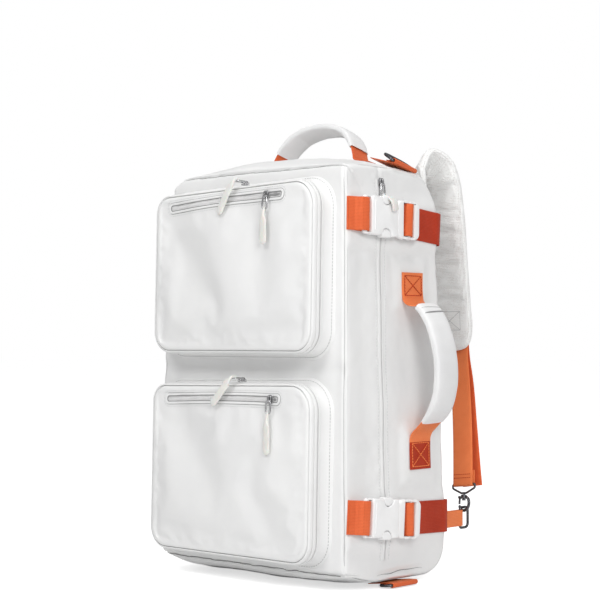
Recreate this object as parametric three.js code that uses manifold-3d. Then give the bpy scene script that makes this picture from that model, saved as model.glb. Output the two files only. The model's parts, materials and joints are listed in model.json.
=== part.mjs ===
// A tennis backpack: a hollow boxy body sewn from panels, two zipped front pockets, a zipped right side with
// two buckled compression straps, carry handles, end rings and two padded shoulder straps on snap hooks.
// Millimetres. +X is to the right of someone facing the front pockets, +Y is to the back, +Z is up.
// The origin is the middle of the flat patch that the bag stands on.

import * as THREE from 'three';
import { mergeVertices } from 'three/addons/utils/BufferGeometryUtils.js';
import Module from 'manifold-3d';

const wasm = await Module();
wasm.setup();

// Driving dimensions

const gap = 0.4; // between pieces that are sewn or laid together

const body = {
  height: 560, // top edge of the front panel
  topFall: 12, // how much lower the top's back edge lies than its front edge
  crown: 30, // rise of the top panel at its middle
  sideCrown: 7, // rise of its side edges
  halfWidth: { low: 182, high: 170 },
  front: { low: -107, high: -94 },
  back: { low: 111, high: 102 },
  wall: 3,
  edgeRadius: 10, // along both side panels
  innerRadius: 4,
  cornerRadius: { frontLow: 14, frontHigh: 8, backHigh: 46, backLow: 46 },
  leftSwell: 8, // bulge of the left side at half height
  sag: 12, // how far the soft bottom hangs below its front edge
  lift: { right: 8, left: 8 }, // rise of the soft bottom towards its side edges
  seamIn: 5, // from a side face to its seam
  seamHeight: { frontLow: 12, backLow: 62, backHigh: 500 },
};

const port = { width: 84, depth: 34, radius: 8, y: 78, binding: 7, thickness: 1.4 };
const sideZip = { y: -25, width: 13, low: 24, high: 544, slider: 536.5 };

const pocket = {
  centre: -9,
  halfWidth: 156,
  out: 36, // how far the pocket stands out from the front panel
  crown: 6, // swell of its face
  wall: 2.5,
  edgeRadius: 5,
  cornerRadius: { highRight: 38, highLeft: 26, low: 32 },
  gussetZip: { from: 12, to: 23, thickness: 1.2 },
  welt: { from: -133, to: 92, height: 12, thickness: 1.2 },
};
// rise is how much higher the welt's right end lies, drift and drop lead from the gusset's slider to its pull's end
const pockets = [
  {
    name: 'upper',
    low: 304,
    high: 538,
    droop: 8,
    welt: { height: 514.5, rise: 8, slider: 66, pullLength: 48 },
    gusset: { slider: 5, drift: -26, drop: -41 },
  },
  {
    name: 'lower',
    low: 25,
    high: 265,
    droop: 5,
    welt: { height: 240.5, rise: 4, slider: 79, pullLength: 55 },
    gusset: { slider: 5, drift: -33, drop: -33 },
  },
];

const webbing = { width: 45, thickness: 1.5 };
const strapStand = 2.9; // from the back panel to the middle of a strap that is sewn down on it
// slope and rearSlope are the drop to the back in degrees, loose is how far the strap stands off the back corner
const straps = [
  { name: 'upper', height: 492, slope: 2.5, rearSlope: 5.5, loose: 6 },
  { name: 'lower', height: 91, slope: 5.5, rearSlope: 2, loose: 3.4 },
];
const buckle = {
  start: 25, // from the front seam to the buckle
  bar: 7, // front bar, as long as it lies along the strap
  slot: 8,
  female: 67, // whole length of the female half
  male: 48, // length of the male half that shows
  halfWidth: 26,
  stand: 2.5, // clear of the side panel
  thickness: 12,
  window: { from: 33, to: 55, depth: 7 },
};

const sideHandle = { width: 45, thickness: 13 };
const topHandle = { width: 40, thickness: 11, x: 4, y: 36, halfSpan: 78, apex: 634, lean: 15 };

const endRing = { halfLength: 29, depth: 25, wire: 2, webbingWidth: 52, webbingThickness: 1.2 };
// stand is how far the ring's round side is held up from its webbing
const endRings = {
  top: { x: 140, y: 36, barOut: 22, barStand: 4.2, tilt: 6, raise: 2.2, stand: 8 },
  bottom: { x: 154, y: 6, barOut: 32, barStand: 4.2, tilt: 0, raise: 0, stand: 0 },
};

const shoulder = { width: 72, thickness: 13, webbingWidth: 34, webbingThickness: 1.5 };
const anchor = { x: 172, bar: 150, height: 69, webbingWidth: 23, ringHalf: 14.5, ringDepth: 18, wire: 1.9 };
const hook = {
  eyeHalf: 19.5,
  eyeTop: 14,
  eyeShoulder: 8.5,
  eyeWire: 1.5,
  post: 1.9,
  headRadius: 2.8,
  head: { from: -9.4, to: -7.4 },
  collarRadius: { inner: 2.3, outer: 4.4 },
  collar: { from: -6.8, to: -1.2 },
  wire: 2.2,
  seat: -18.6, // where the anchor ring's wire lies in the hook
  hinge: { x: -6.9, z: -4.6 },
  gateWire: 1.5,
};

const finishes = {
  coated: { color: 0xf0f0ee, roughness: 0.5, metalness: 0 },
  padding: { color: 0xe6e6e6, roughness: 0.8, metalness: 0 },
  webbing: { color: 0xe0602f, roughness: 0.6, metalness: 0 },
  plastic: { color: 0xf4f4f4, roughness: 0.35, metalness: 0 },
  nickel: { color: 0xb9b9bb, roughness: 0.25, metalness: 1 },
  gunmetal: { color: 0x3a3a3e, roughness: 0.35, metalness: 1 },
  tape: { color: 0xd2d2d2, roughness: 0.7, metalness: 0 },
  cord: { color: 0xececea, roughness: 0.45, metalness: 0 },
};

// Solids, curves and lofts

const { lerp, clamp, smoothstep, degToRad } = THREE.MathUtils;
const xAxis = new THREE.Vector3(1, 0, 0);
const yAxis = new THREE.Vector3(0, 1, 0);
const zAxis = new THREE.Vector3(0, 0, 1);
const v2 = (u, v) => new THREE.Vector2(u, v);
const v3 = (x, y, z) => new THREE.Vector3(x, y, z);

const bag = new THREE.Group();

function piece(parent, name, geometry, finish) {
  const mesh = new THREE.Mesh(geometry, new THREE.MeshStandardMaterial(finishes[finish]));
  mesh.name = name;
  parent.add(mesh);
  return mesh;
}

function solidOf(geometry) {
  const bare = new THREE.BufferGeometry();
  bare.setAttribute('position', geometry.getAttribute('position').clone());
  bare.setIndex(geometry.index);
  const merged = mergeVertices(bare, 1e-4);
  const vertProperties = merged.getAttribute('position').array;
  const triVerts = Uint32Array.from(merged.index.array);
  return new wasm.Manifold(new wasm.Mesh({ numProp: 3, vertProperties, triVerts }));
}

function geometryOf(solid) {
  const mesh = solid.getMesh();
  const geometry = new THREE.BufferGeometry();
  geometry.setAttribute('position', new THREE.BufferAttribute(mesh.vertProperties, 3));
  geometry.setIndex(new THREE.BufferAttribute(mesh.triVerts, 1));
  geometry.computeVertexNormals();
  return geometry;
}

const join = (...geometries) => geometryOf(geometries.map(solidOf).reduce((whole, part) => whole.add(part)));
const box = (x, y, z) => new THREE.BoxGeometry(x, y, z);

function signedVolume(points, index) {
  let sum = 0;
  for (let i = 0; i < index.length; i += 3) {
    const [a, b, c] = [points[index[i]], points[index[i + 1]], points[index[i + 2]]];
    sum += a.dot(b.clone().cross(c));
  }
  return sum;
}

// Skins a row of rings that have equal numbers of points. A closed row joins its last ring to its first, and an
// open one is capped at both ends.
function loft(rings, closed = false) {
  const count = rings[0].length;
  const points = rings.flat();
  const index = [];
  const spans = closed ? rings.length : rings.length - 1;
  for (let r = 0; r < spans; r += 1) {
    const near = r * count;
    const far = ((r + 1) % rings.length) * count;
    for (let i = 0; i < count; i += 1) {
      const next = (i + 1) % count;
      index.push(near + i, near + next, far + next);
      index.push(near + i, far + next, far + i);
    }
  }
  if (!closed) {
    const lastRing = (rings.length - 1) * count;
    const nearCentre = points.push(centroid(rings[0])) - 1;
    const farCentre = points.push(centroid(rings[rings.length - 1])) - 1;
    for (let i = 0; i < count; i += 1) {
      const next = (i + 1) % count;
      index.push(nearCentre, next, i);
      index.push(farCentre, lastRing + i, lastRing + next);
    }
  }
  if (signedVolume(points, index) < 0) index.reverse();
  const geometry = new THREE.BufferGeometry().setFromPoints(points);
  geometry.setIndex(index);
  geometry.computeVertexNormals();
  return geometry;
}

function centroid(ring) {
  const middle = v3(0, 0, 0);
  ring.forEach((point) => middle.add(point));
  return middle.divideScalar(ring.length);
}

// A polygon with each corner turned into an arc. Every corner gives arcSteps + 1 points and every side its own
// number of points between.
function roundedOutline(corners, sideSteps, arcSteps) {
  const arcs = corners.map((corner, i) => {
    const before = corners[(i + corners.length - 1) % corners.length];
    const after = corners[(i + 1) % corners.length];
    const point = v2(corner.u, corner.v);
    const back = v2(before.u, before.v).sub(point).normalize();
    const ahead = v2(after.u, after.v).sub(point).normalize();
    const half = Math.acos(clamp(back.dot(ahead), -1, 1)) / 2;
    const centre = back.clone().add(ahead).normalize().multiplyScalar(corner.radius / Math.sin(half)).add(point);
    const reach = corner.radius / Math.tan(half);
    const from = back.clone().multiplyScalar(reach).add(point).sub(centre);
    const to = ahead.clone().multiplyScalar(reach).add(point).sub(centre);
    const turn = Math.atan2(from.cross(to), from.dot(to));
    const origin = v2(0, 0);
    const arc = [];
    for (let s = 0; s <= arcSteps; s += 1) {
      arc.push(from.clone().rotateAround(origin, (turn * s) / arcSteps).add(centre));
    }
    return arc;
  });
  return arcs.flatMap((arc, i) => {
    const end = arc[arcSteps];
    const next = arcs[(i + 1) % arcs.length][0];
    const side = [];
    for (let s = 1; s <= sideSteps[i]; s += 1) side.push(end.clone().lerp(next, s / (sideSteps[i] + 1)));
    return [...arc, ...side];
  });
}

function roundedRectangle(width, height, radius, arcSteps = 2) {
  const corners = [
    { u: -width / 2, v: -height / 2, radius },
    { u: width / 2, v: -height / 2, radius },
    { u: width / 2, v: height / 2, radius },
    { u: -width / 2, v: height / 2, radius },
  ];
  return roundedOutline(corners, [0, 0, 0, 0], arcSteps);
}

const flatPrism = (shape, depth) => new THREE.ExtrudeGeometry(shape, { depth, bevelEnabled: false });

// Lays a geometry made in the XY plane and raised along Z onto two other axes.
function laid(geometry, across, up) {
  const out = across.clone().cross(up);
  return geometry.applyMatrix4(new THREE.Matrix4().makeBasis(across, up, out));
}

// A smooth run through a few points of a plane, as points of equal parts.
function smoothRun(points, steps) {
  const curve = new THREE.CatmullRomCurve3(points.map(([u, v]) => v3(u, v, 0)), false, 'centripetal');
  return curve.getPoints(steps).map((point) => v2(point.x, point.y));
}

// The outline of a ribbon of even thickness along a run of points.
function ribbonShape(run, thickness) {
  const edge = (side) => run.map((point, i) => {
    const before = run[Math.max(i - 1, 0)];
    const after = run[Math.min(i + 1, run.length - 1)];
    const ahead = after.clone().sub(before).normalize();
    return v2(-ahead.y, ahead.x).multiplyScalar((side * thickness) / 2).add(point);
  });
  return new THREE.Shape([...edge(1), ...edge(-1).reverse()]);
}

// Webbing that runs along one axis, rises along another and is as wide as given across both.
function ribbon(points, steps, size, along, up) {
  const geometry = flatPrism(ribbonShape(smoothRun(points, steps), size.thickness), size.width);
  geometry.translate(0, 0, -size.width / 2);
  return laid(geometry, along, up);
}

// Rows of a swept piece: where its middle is, the direction across it, and its half width and half thickness.
function sweep(rows, sectionOf) {
  const rings = rows.map((row, i) => {
    const before = rows[Math.max(i - 1, 0)].centre;
    const after = rows[Math.min(i + 1, rows.length - 1)].centre;
    const ahead = after.clone().sub(before).normalize();
    const across = row.across.clone().addScaledVector(ahead, -row.across.dot(ahead)).normalize();
    const normal = ahead.clone().cross(across);
    return sectionOf(row).map(([u, v]) => row.centre.clone().addScaledVector(across, u).addScaledVector(normal, v));
  });
  return loft(rings);
}

const flatSection = ({ halfWidth, halfThick }) => [
  [-halfWidth, -halfThick],
  [halfWidth, -halfThick],
  [halfWidth, halfThick],
  [-halfWidth, halfThick],
];

const padSquareness = 0.5; // 1 is an oval, less is squarer
const softSection = (sides) => ({ halfWidth, halfThick }) => {
  const section = [];
  for (let i = 0; i < sides; i += 1) {
    const angle = (2 * Math.PI * (i + 0.5)) / sides;
    const soft = (value) => Math.sign(value) * Math.abs(value) ** padSquareness;
    section.push([halfWidth * soft(Math.cos(angle)), halfThick * soft(Math.sin(angle))]);
  }
  return section;
};
const padSection = softSection(10);
const pullSection = softSection(8);

// A bent wire: a round section carried along points of the XZ plane, closed to a ring or open.
const wireSides = 6;
function wire(run, radius, closed) {
  const rings = run.map((point, i) => {
    const before = closed ? run[(i + run.length - 1) % run.length] : run[Math.max(i - 1, 0)];
    const after = closed ? run[(i + 1) % run.length] : run[Math.min(i + 1, run.length - 1)];
    const ahead = after.clone().sub(before).normalize();
    const ring = [];
    for (let s = 0; s < wireSides; s += 1) {
      const angle = (2 * Math.PI * s) / wireSides;
      const side = radius * Math.cos(angle);
      ring.push(v3(point.x - ahead.y * side, radius * Math.sin(angle), point.y + ahead.x * side));
    }
    return ring;
  });
  return loft(rings, closed);
}

function rod(radius, from, to, sides = 10) {
  const geometry = new THREE.CylinderGeometry(radius, radius, to - from, sides);
  geometry.rotateX(Math.PI / 2);
  geometry.translate(0, 0, (from + to) / 2);
  return geometry;
}

// Body: a side profile of lines and arcs, carried from side to side

const halfWidthAt = (z) => lerp(body.halfWidth.low, body.halfWidth.high, z / body.height);
const leftSwellAt = (z) => body.leftSwell * Math.sin(Math.PI * clamp(z / body.height, 0, 1));
const frontAt = (z) => lerp(body.front.low, body.front.high, z / body.height);
const backAt = (z) => lerp(body.back.low, body.back.high, z / body.height);
const sideTilt = Math.atan((body.halfWidth.low - body.halfWidth.high) / body.height);
const frontTilt = Math.atan((body.front.high - body.front.low) / body.height);

const flatShare = { right: 0.33, left: 0.6 }; // of the half width, where the bottom lies flat
function liftAt(share) {
  const right = Math.max(share - flatShare.right, 0) / (1 - flatShare.right);
  const left = Math.max(-share - flatShare.left, 0) / (1 - flatShare.left);
  return body.lift.right * right ** 2 + body.lift.left * left ** 2;
}
const hangAt = (y) => smoothstep(y, body.front.low, lerp(body.front.low, body.back.low, 0.32));
const bottomAt = (share, y) => liftAt(share) - body.sag * hangAt(y);
const riseAt = (share) => lerp(body.crown, body.sideCrown, Math.abs(share) ** 2.2);
const swell = (t) => (4 * t * (1 - t)) ** 0.65; // quick rise behind the front seam, crest near the middle

function profile(share, inset) {
  const radius = (full) => Math.max(full - inset, 1.5);
  const { frontLow, frontHigh, backHigh, backLow } = body.cornerRadius;
  const level = liftAt(share) - body.sag;
  const frontTop = frontAt(body.height) + inset;
  const backTop = backAt(body.height) - inset;
  const corners = [
    { u: frontAt(0) + inset, v: level + inset, radius: radius(frontLow) },
    { u: frontTop, v: body.height - inset, radius: radius(frontHigh) },
    { u: backTop, v: body.height - body.topFall - inset, radius: radius(backHigh) },
    { u: backAt(0) - inset, v: level + inset, radius: radius(backLow) },
  ];
  const rise = riseAt(share);
  return roundedOutline(corners, [1, 5, 1, 4], 3).map((point) => {
    if (point.y < body.height / 2) return v2(point.x, point.y + body.sag * (1 - hangAt(point.x)));
    const t = clamp((point.x - frontTop) / (backTop - frontTop), 0, 1);
    return v2(point.x, point.y + rise * swell(t));
  });
}

const middleShares = [-0.85, -0.6, -0.15, 0.33, 0.6, 0.85];
const edgeAngles = [0, 45, 90].map(degToRad);

// The whole body as one solid, grown outwards or shrunk by an even skin.
function bodySolid(skin) {
  const radius = skin > 0 ? body.innerRadius : body.edgeRadius - skin;
  const ring = (share, sideIn, inset) => profile(share, inset + skin).map(({ x: y, y: z }) => {
    const reach = halfWidthAt(z) + (share < 0 ? leftSwellAt(z) : 0);
    return v3(share * (reach - skin - sideIn), y, z);
  });
  const edge = (side) => edgeAngles.map(
    (angle) => ring(side, radius * (1 - Math.cos(angle)), radius * (1 - Math.sin(angle))),
  );
  const rings = [...edge(-1), ...middleShares.map((share) => ring(share, radius, 0)), ...edge(1).reverse()];
  return solidOf(loft(rings));
}

const layer = (low, high) => bodySolid(-high).subtract(bodySolid(-low));

function highestAt(x, y) {
  const outline = profile(x / (halfWidthAt(body.height) - body.edgeRadius), 0);
  const above = outline.map((point, i) => [point, outline[(i + 1) % outline.length]])
    .filter(([a, b]) => Math.min(a.x, b.x) <= y && y <= Math.max(a.x, b.x) && a.x !== b.x)
    .map(([a, b]) => lerp(a.y, b.y, (y - a.x) / (b.x - a.x)));
  return Math.max(...above);
}

const lowestAt = (x, y) => bottomAt(Math.min(x / (body.halfWidth.low - body.edgeRadius), 1), y);

function sideSeam(side) {
  const slab = box(gap, 600, 1400);
  slab.rotateY(-side * sideTilt);
  slab.translate(side * (body.halfWidth.low - body.seamIn), 0, 0);
  return solidOf(slab);
}

function wrapSeam(y, z, turn) {
  const slab = box(2 * (halfWidthAt(z) - body.seamIn), 40, gap);
  slab.rotateX(turn);
  slab.translate(0, y, z);
  return solidOf(slab);
}

function portPrism(grow) {
  const outline = roundedRectangle(port.width + 2 * grow, port.depth + 2 * grow, port.radius + grow);
  const prism = flatPrism(new THREE.Shape(outline), 200);
  prism.translate(0, port.y, body.height - 80);
  return solidOf(prism);
}

const zipBox = (shrink) => {
  const slot = box(60, sideZip.width - 2 * shrink, sideZip.high - sideZip.low - 2 * shrink);
  slot.translate(body.halfWidth.high, sideZip.y, (sideZip.low + sideZip.high) / 2);
  return solidOf(slot);
};

function bodyPanels() {
  const { frontLow, backLow, backHigh } = body.seamHeight;
  const seams = [
    sideSeam(1),
    sideSeam(-1),
    wrapSeam(frontAt(frontLow), frontLow, 0),
    wrapSeam(frontAt(body.height), body.height, -Math.PI / 4),
    wrapSeam(backAt(backLow), backLow, 0),
    wrapSeam(backAt(backHigh), backHigh, 0),
  ];
  const hollow = bodySolid(0).subtract(bodySolid(body.wall));
  const panels = seams.reduce((whole, seam) => whole.subtract(seam), hollow)
    .subtract(portPrism(0))
    .subtract(zipBox(0));
  panels.decompose().forEach((panel) => {
    const { min, max } = panel.boundingBox();
    let name = 'back_panel';
    if (min[0] > 0) name = 'side_panel_right';
    else if (max[0] < 0) name = 'side_panel_left';
    else if (max[1] < 0) name = 'front_panel';
    else if (min[2] > body.height / 2) name = 'top_panel';
    else if (max[2] < body.height / 2) name = 'bottom_panel';
    piece(bag, name, geometryOf(panel), 'coated');
  });
  const binding = layer(gap, gap + port.thickness).intersect(portPrism(port.binding).subtract(portPrism(1)));
  piece(bag, 'top_port_binding', geometryOf(binding), 'coated');
  const tape = layer(-2.6, -0.6).intersect(zipBox(gap));
  piece(bag, 'side_zip_tape', geometryOf(tape), 'tape');
}

// Groups that lie on the front and on the right side: their own axes follow the lean of those faces

const front = new THREE.Group();
front.position.set(0, body.front.low, 0);
front.rotation.x = -frontTilt;
bag.add(front);

const side = new THREE.Group();
side.position.set(body.halfWidth.low, 0, 0);
side.rotation.y = -sideTilt;
bag.add(side);

// Zip sliders and pulls: made hanging in the XZ plane with the tape behind them, at +Y

const slider = { width: 8, length: 13, thickness: 4.5, puller: 20, pullerWidth: 9, pullerThickness: 1.8 };
const pull = { width: 6, thickness: 3.6, length: 44 };

function sliderGeometry() {
  const { width, length, thickness, puller, pullerWidth, pullerThickness } = slider;
  const bodyShape = new THREE.Shape(roundedRectangle(width, length, 2.5, 1));
  const base = laid(flatPrism(bodyShape, thickness), xAxis, zAxis);
  const eye = new THREE.Shape(roundedRectangle(pullerWidth, puller, 3.5));
  eye.holes.push(new THREE.Path(roundedRectangle(pullerWidth - 4, puller - 6, 1.8, 1)));
  const tongue = laid(flatPrism(eye, pullerThickness), xAxis, zAxis);
  tongue.translate(0, -thickness + 0.4, -puller / 2 - 1);
  return join(base, tongue);
}

function pullGeometry(points) {
  const rows = points.map(([x, y, z], i) => {
    const tip = i === 0 || i === points.length - 1;
    return {
      centre: v3(x, y, z),
      across: xAxis,
      halfWidth: (tip ? 0.75 : 1) * (pull.width / 2),
      halfThick: pull.thickness / 2,
    };
  });
  return sweep(rows, pullSection);
}

const hangingPull = (top, length) => [0, 0.15, 0.5, 0.85, 1].map((t) => [0, -8.2, top - t * length]);

// Front pockets: rounded trays, open to the front panel

function pocketOutline(row, inset) {
  const { centre, halfWidth, cornerRadius } = pocket;
  const radius = (full) => Math.max(full - inset, 4);
  const [left, right] = [centre - halfWidth + inset, centre + halfWidth - inset];
  const corners = [
    { u: left, v: row.low + inset, radius: radius(cornerRadius.low) },
    { u: right, v: row.low + inset, radius: radius(cornerRadius.low) },
    { u: right, v: row.high - inset, radius: radius(cornerRadius.highRight) },
    { u: left, v: row.high - inset, radius: radius(cornerRadius.highLeft) },
  ];
  return roundedOutline(corners, [2, 1, 2, 1], 3).map(({ x, y: z }) => {
    const leftward = (right - x) / (right - left);
    const upward = (z - row.low) / (row.high - row.low);
    return v2(x, z - row.droop * leftward * upward);
  });
}

const pocketRing = (row, inset, out) => pocketOutline(row, inset).map(({ x, y: z }) => v3(x, -out, z));

// The pocket as one solid, grown outwards or shrunk by an even skin.
function pocketSolid(row, base, skin) {
  const { out, crown, edgeRadius } = pocket;
  const rings = [pocketRing(row, -skin, base)];
  [0, 45, 90].map(degToRad).forEach((angle) => {
    const inset = edgeRadius * (1 - Math.cos(angle)) - skin;
    rings.push(pocketRing(row, inset, out + skin - edgeRadius * (1 - Math.sin(angle))));
  });
  rings.push(pocketRing(row, 35, out + skin + crown * 0.7));
  rings.push(pocketRing(row, 75, out + skin + crown));
  return solidOf(loft(rings));
}

function gussetZip(row) {
  const { from, to, thickness } = pocket.gussetZip;
  const corners = [
    [gap, from],
    [gap, to],
    [gap + thickness, to],
    [gap + thickness, from],
  ];
  const loops = corners.map(([grow, out]) => pocketRing(row, -grow, out));
  return loft(loops[0].map((_, i) => loops.map((loop) => loop[i])), true);
}

function frontPocket(row) {
  const name = `pocket_${row.name}`;
  const shell = pocketSolid(row, gap, 0).subtract(pocketSolid(row, -5, -pocket.wall));
  piece(front, `${name}_shell`, geometryOf(shell), 'coated');
  piece(front, `${name}_gusset_zip`, gussetZip(row), 'tape');

  const { welt } = pocket;
  const weltSlope = row.welt.rise / (welt.to - welt.from);
  const strip = laid(
    flatPrism(new THREE.Shape(roundedRectangle(welt.to - welt.from, welt.height, 5)), 80),
    xAxis,
    zAxis,
  );
  strip.rotateY(-Math.atan(weltSlope));
  strip.translate((welt.from + welt.to) / 2, 0, row.welt.height);
  const skin = pocketSolid(row, gap, gap + welt.thickness).subtract(pocketSolid(row, 0, gap));
  piece(front, `${name}_welt_zip`, geometryOf(skin.intersect(solidOf(strip))), 'tape');

  const face = pocket.out + pocket.crown * 0.54 + welt.thickness + 2 * gap;
  const weltSlider = piece(front, `${name}_welt_slider`, sliderGeometry(), 'nickel');
  const alongWelt = row.welt.slider - (welt.from + welt.to) / 2;
  weltSlider.position.set(row.welt.slider, -face, row.welt.height + alongWelt * weltSlope);
  const weltPull = piece(front, `${name}_welt_pull`, pullGeometry(hangingPull(-19, row.welt.pullLength)), 'cord');
  weltPull.position.copy(weltSlider.position);

  const { slider: across, drift, drop } = row.gusset;
  const rightward = (across - pocket.centre + pocket.halfWidth) / (2 * pocket.halfWidth);
  const topHere = row.high - row.droop * (1 - rightward);
  const zipMiddle = (pocket.gussetZip.from + pocket.gussetZip.to) / 2;
  const gussetSlider = piece(front, `${name}_gusset_slider`, sliderGeometry(), 'nickel');
  gussetSlider.position.set(across, -zipMiddle, topHere + pocket.gussetZip.thickness + 2 * gap);
  gussetSlider.rotation.x = -Math.PI / 2;
  const overEdge = [
    [0, -15, 8.2],
    [0, -22, 8.2],
    [0.08 * drift, -27.4, 4],
    [0.3 * drift, -29.2, -6],
    [drift, -29.6, drop],
  ];
  const gussetPull = piece(front, `${name}_gusset_pull`, pullGeometry(overEdge), 'cord');
  gussetPull.position.copy(gussetSlider.position);
}

// Compression straps and buckles, along +Y of a group that starts at the front seam of the right side

function prismUp(shape, from, to) {
  const prism = laid(flatPrism(shape, to - from), yAxis, zAxis);
  prism.translate(from, 0, 0);
  return prism;
}

function plate(from, to, halfWidth, radius) {
  const outline = roundedRectangle(to - from, 2 * halfWidth, radius);
  return outline.map((point) => v2(point.x + (from + to) / 2, point.y));
}

function buckleFemale() {
  const { start, bar, slot, female, halfWidth, stand, thickness, window } = buckle;
  const neck = start + bar + slot;
  const end = start + female;
  const frame = new THREE.Shape(plate(start, neck + 6, halfWidth, 4));
  frame.holes.push(new THREE.Path(plate(start + bar, neck, halfWidth - 2.5, 1.5)));
  const body = new THREE.Shape(plate(neck, end, halfWidth, 5));
  const whole = solidOf(prismUp(frame, stand + 3, stand + thickness - 3))
    .add(solidOf(prismUp(body, stand, stand + thickness)));
  const cavity = prismUp(new THREE.Shape(plate(neck + 8, end + 10, halfWidth - 5, 2)), stand + 2.5, stand + 9.5);
  const windowLength = window.to - window.from;
  const cut = whole.subtract(solidOf(cavity));
  return geometryOf([-1, 1].reduce((rest, edge) => {
    const notch = new THREE.Shape(roundedRectangle(windowLength, 2 * window.depth, window.depth - 1).map(
      (point) => v2(point.x + start + (window.from + window.to) / 2, point.y + edge * halfWidth),
    ));
    return rest.subtract(solidOf(prismUp(notch, 0, stand + thickness + 5)));
  }, cut));
}

const ladder = { first: 14, slot: 7, bar: 8 }; // along the male half, from its shoulder

function buckleMale() {
  const { start, female, male, halfWidth, stand, window } = buckle;
  const end = start + female + male;
  const shape = new THREE.Shape(plate(shoulderAt, end, halfWidth, 9));
  [0, 1].forEach((i) => {
    const from = shoulderAt + ladder.first + i * (ladder.slot + ladder.bar);
    shape.holes.push(new THREE.Path(plate(from, from + ladder.slot, halfWidth - 1.8, 1.5)));
  });
  const arms = [-1, 1].map((edge) => {
    const arm = plate(start + window.from + 1, shoulderAt + 6, 4, 3).map((p) => v2(p.x, p.y + edge * 14));
    const press = plate(start + window.from + 1.5, start + window.to - 1.5, 5.5, 5).map(
      (p) => v2(p.x, p.y + edge * 19),
    );
    return [arm, press].map((outline) => prismUp(new THREE.Shape(outline), stand + 3, stand + 9));
  });
  return join(prismUp(shape, stand + 1.5, stand + 10.5), ...arms.flat());
}

function strapFront() {
  const bar = buckle.start + buckle.bar / 2;
  const high = buckle.stand + buckle.thickness / 2;
  const run = [
    [3, -1.2],
    [6, 0.7],
    [11, 1.3],
    [bar - 4, 1.5],
    [bar + 2, 2.4],
    [bar + 6.6, high],
    [bar + 2, high + 5.6],
    [bar - 4, high + 5],
    [bar - 11, high],
    [14, 4],
    [10, 3.4],
  ];
  return ribbon(run, 18, webbing, yAxis, xAxis);
}

const shoulderAt = buckle.start + buckle.female + gap;
const firstSlot = shoulderAt + ladder.first + ladder.slot / 2;
const secondSlot = firstSlot + ladder.slot + ladder.bar;

function strapRear(backEdge, loose) {
  const end = buckle.start + buckle.female + buckle.male;
  const over = buckle.stand + 10.5 + gap + 1.7;
  const run = [
    [firstSlot - 9, 1.6],
    [firstSlot - 3, 2],
    [firstSlot, 6],
    [firstSlot + 1.2, over - 2],
    [firstSlot + 4, over],
    [secondSlot - 4, over],
    [secondSlot - 1.2, over - 2],
    [secondSlot, 6],
    [secondSlot + 3, 2],
    [end, 1.6],
    [backEdge - 20, 1.3],
    [backEdge + loose - 8, 1.1],
    [backEdge + loose - 1.4, -3.6],
    [backEdge + loose, -12],
    [backEdge + strapStand, -34],
  ];
  return ribbon(run, 36, webbing, yAxis, xAxis);
}

function compressionStrap({ name, height, slope, rearSlope, loose }) {
  const frontEdge = frontAt(height);
  const group = new THREE.Group();
  group.position.set(0, frontEdge, height);
  group.rotation.x = -degToRad(slope);
  side.add(group);
  piece(group, `strap_${name}_front`, strapFront(), 'webbing');
  piece(group, `buckle_${name}_female`, buckleFemale(), 'plastic');
  piece(group, `buckle_${name}_male`, buckleMale(), 'plastic');
  // the rear webbing turns a little in the slots of the male half
  const turnAt = (firstSlot + secondSlot) / 2;
  const rear = new THREE.Group();
  rear.position.set(0, turnAt, 0);
  rear.rotation.x = degToRad(slope - rearSlope);
  group.add(rear);
  const turnY = frontEdge + turnAt * Math.cos(degToRad(slope));
  const backHere = backAt(height - webbing.width); // at the strap's lower edge
  const backEdge = turnAt + (backHere - turnY) / Math.cos(degToRad(rearSlope));
  piece(rear, `strap_${name}_rear`, strapRear(backEdge, loose).translate(0, -turnAt, 0), 'webbing');
}

// Handles: webbing tabs sewn down at both ends and a padded sleeve between them

const bandRow = (centre, across, size) => ({
  centre,
  across,
  halfWidth: size.width / 2,
  halfThick: size.thickness / 2,
});

function carryHandle(parent, name, tabs, sleeveRows) {
  Object.entries(tabs).forEach(([end, rows]) => {
    piece(parent, `${name}_tab_${end}`, sweep(rows, flatSection), 'webbing');
  });
  piece(parent, `${name}_sleeve`, sweep(sleeveRows, padSection), 'padding');
}

function sideCarryHandle() {
  const row = ([height, out, y], size) => bandRow(v3(out, y, height), yAxis, size);
  const topTab = [
    [416, 1.2, 40],
    [384, 1.2, 40],
    [378, 2, 40],
    [373, 6, 40],
    [370.4, 12, 40],
    [369.4, 18, 41],
  ];
  const sleeve = [
    [368, 23.5, 41],
    [362, 30, 41],
    [348, 39, 42],
    [320, 49, 43],
    [282, 53, 45],
    [246, 47, 47],
    [222, 34, 49],
    [211, 23.5, 50],
  ];
  const bottomTab = [
    [209.6, 22, 50],
    [201, 12, 50],
    [194, 4.5, 50],
    [187, 1.5, 50],
    [182, 1.2, 50],
    [145, 1.2, 50],
  ];
  const ends = [0, sleeve.length - 1];
  carryHandle(
    side,
    'handle_side',
    { top: topTab.map((r) => row(r, webbing)), bottom: bottomTab.map((r) => row(r, webbing)) },
    sleeve.map((r, i) => row(r, {
      width: sideHandle.width,
      thickness: ends.includes(i) ? sideHandle.thickness * 0.6 : sideHandle.thickness,
    })),
  );
}

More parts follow.
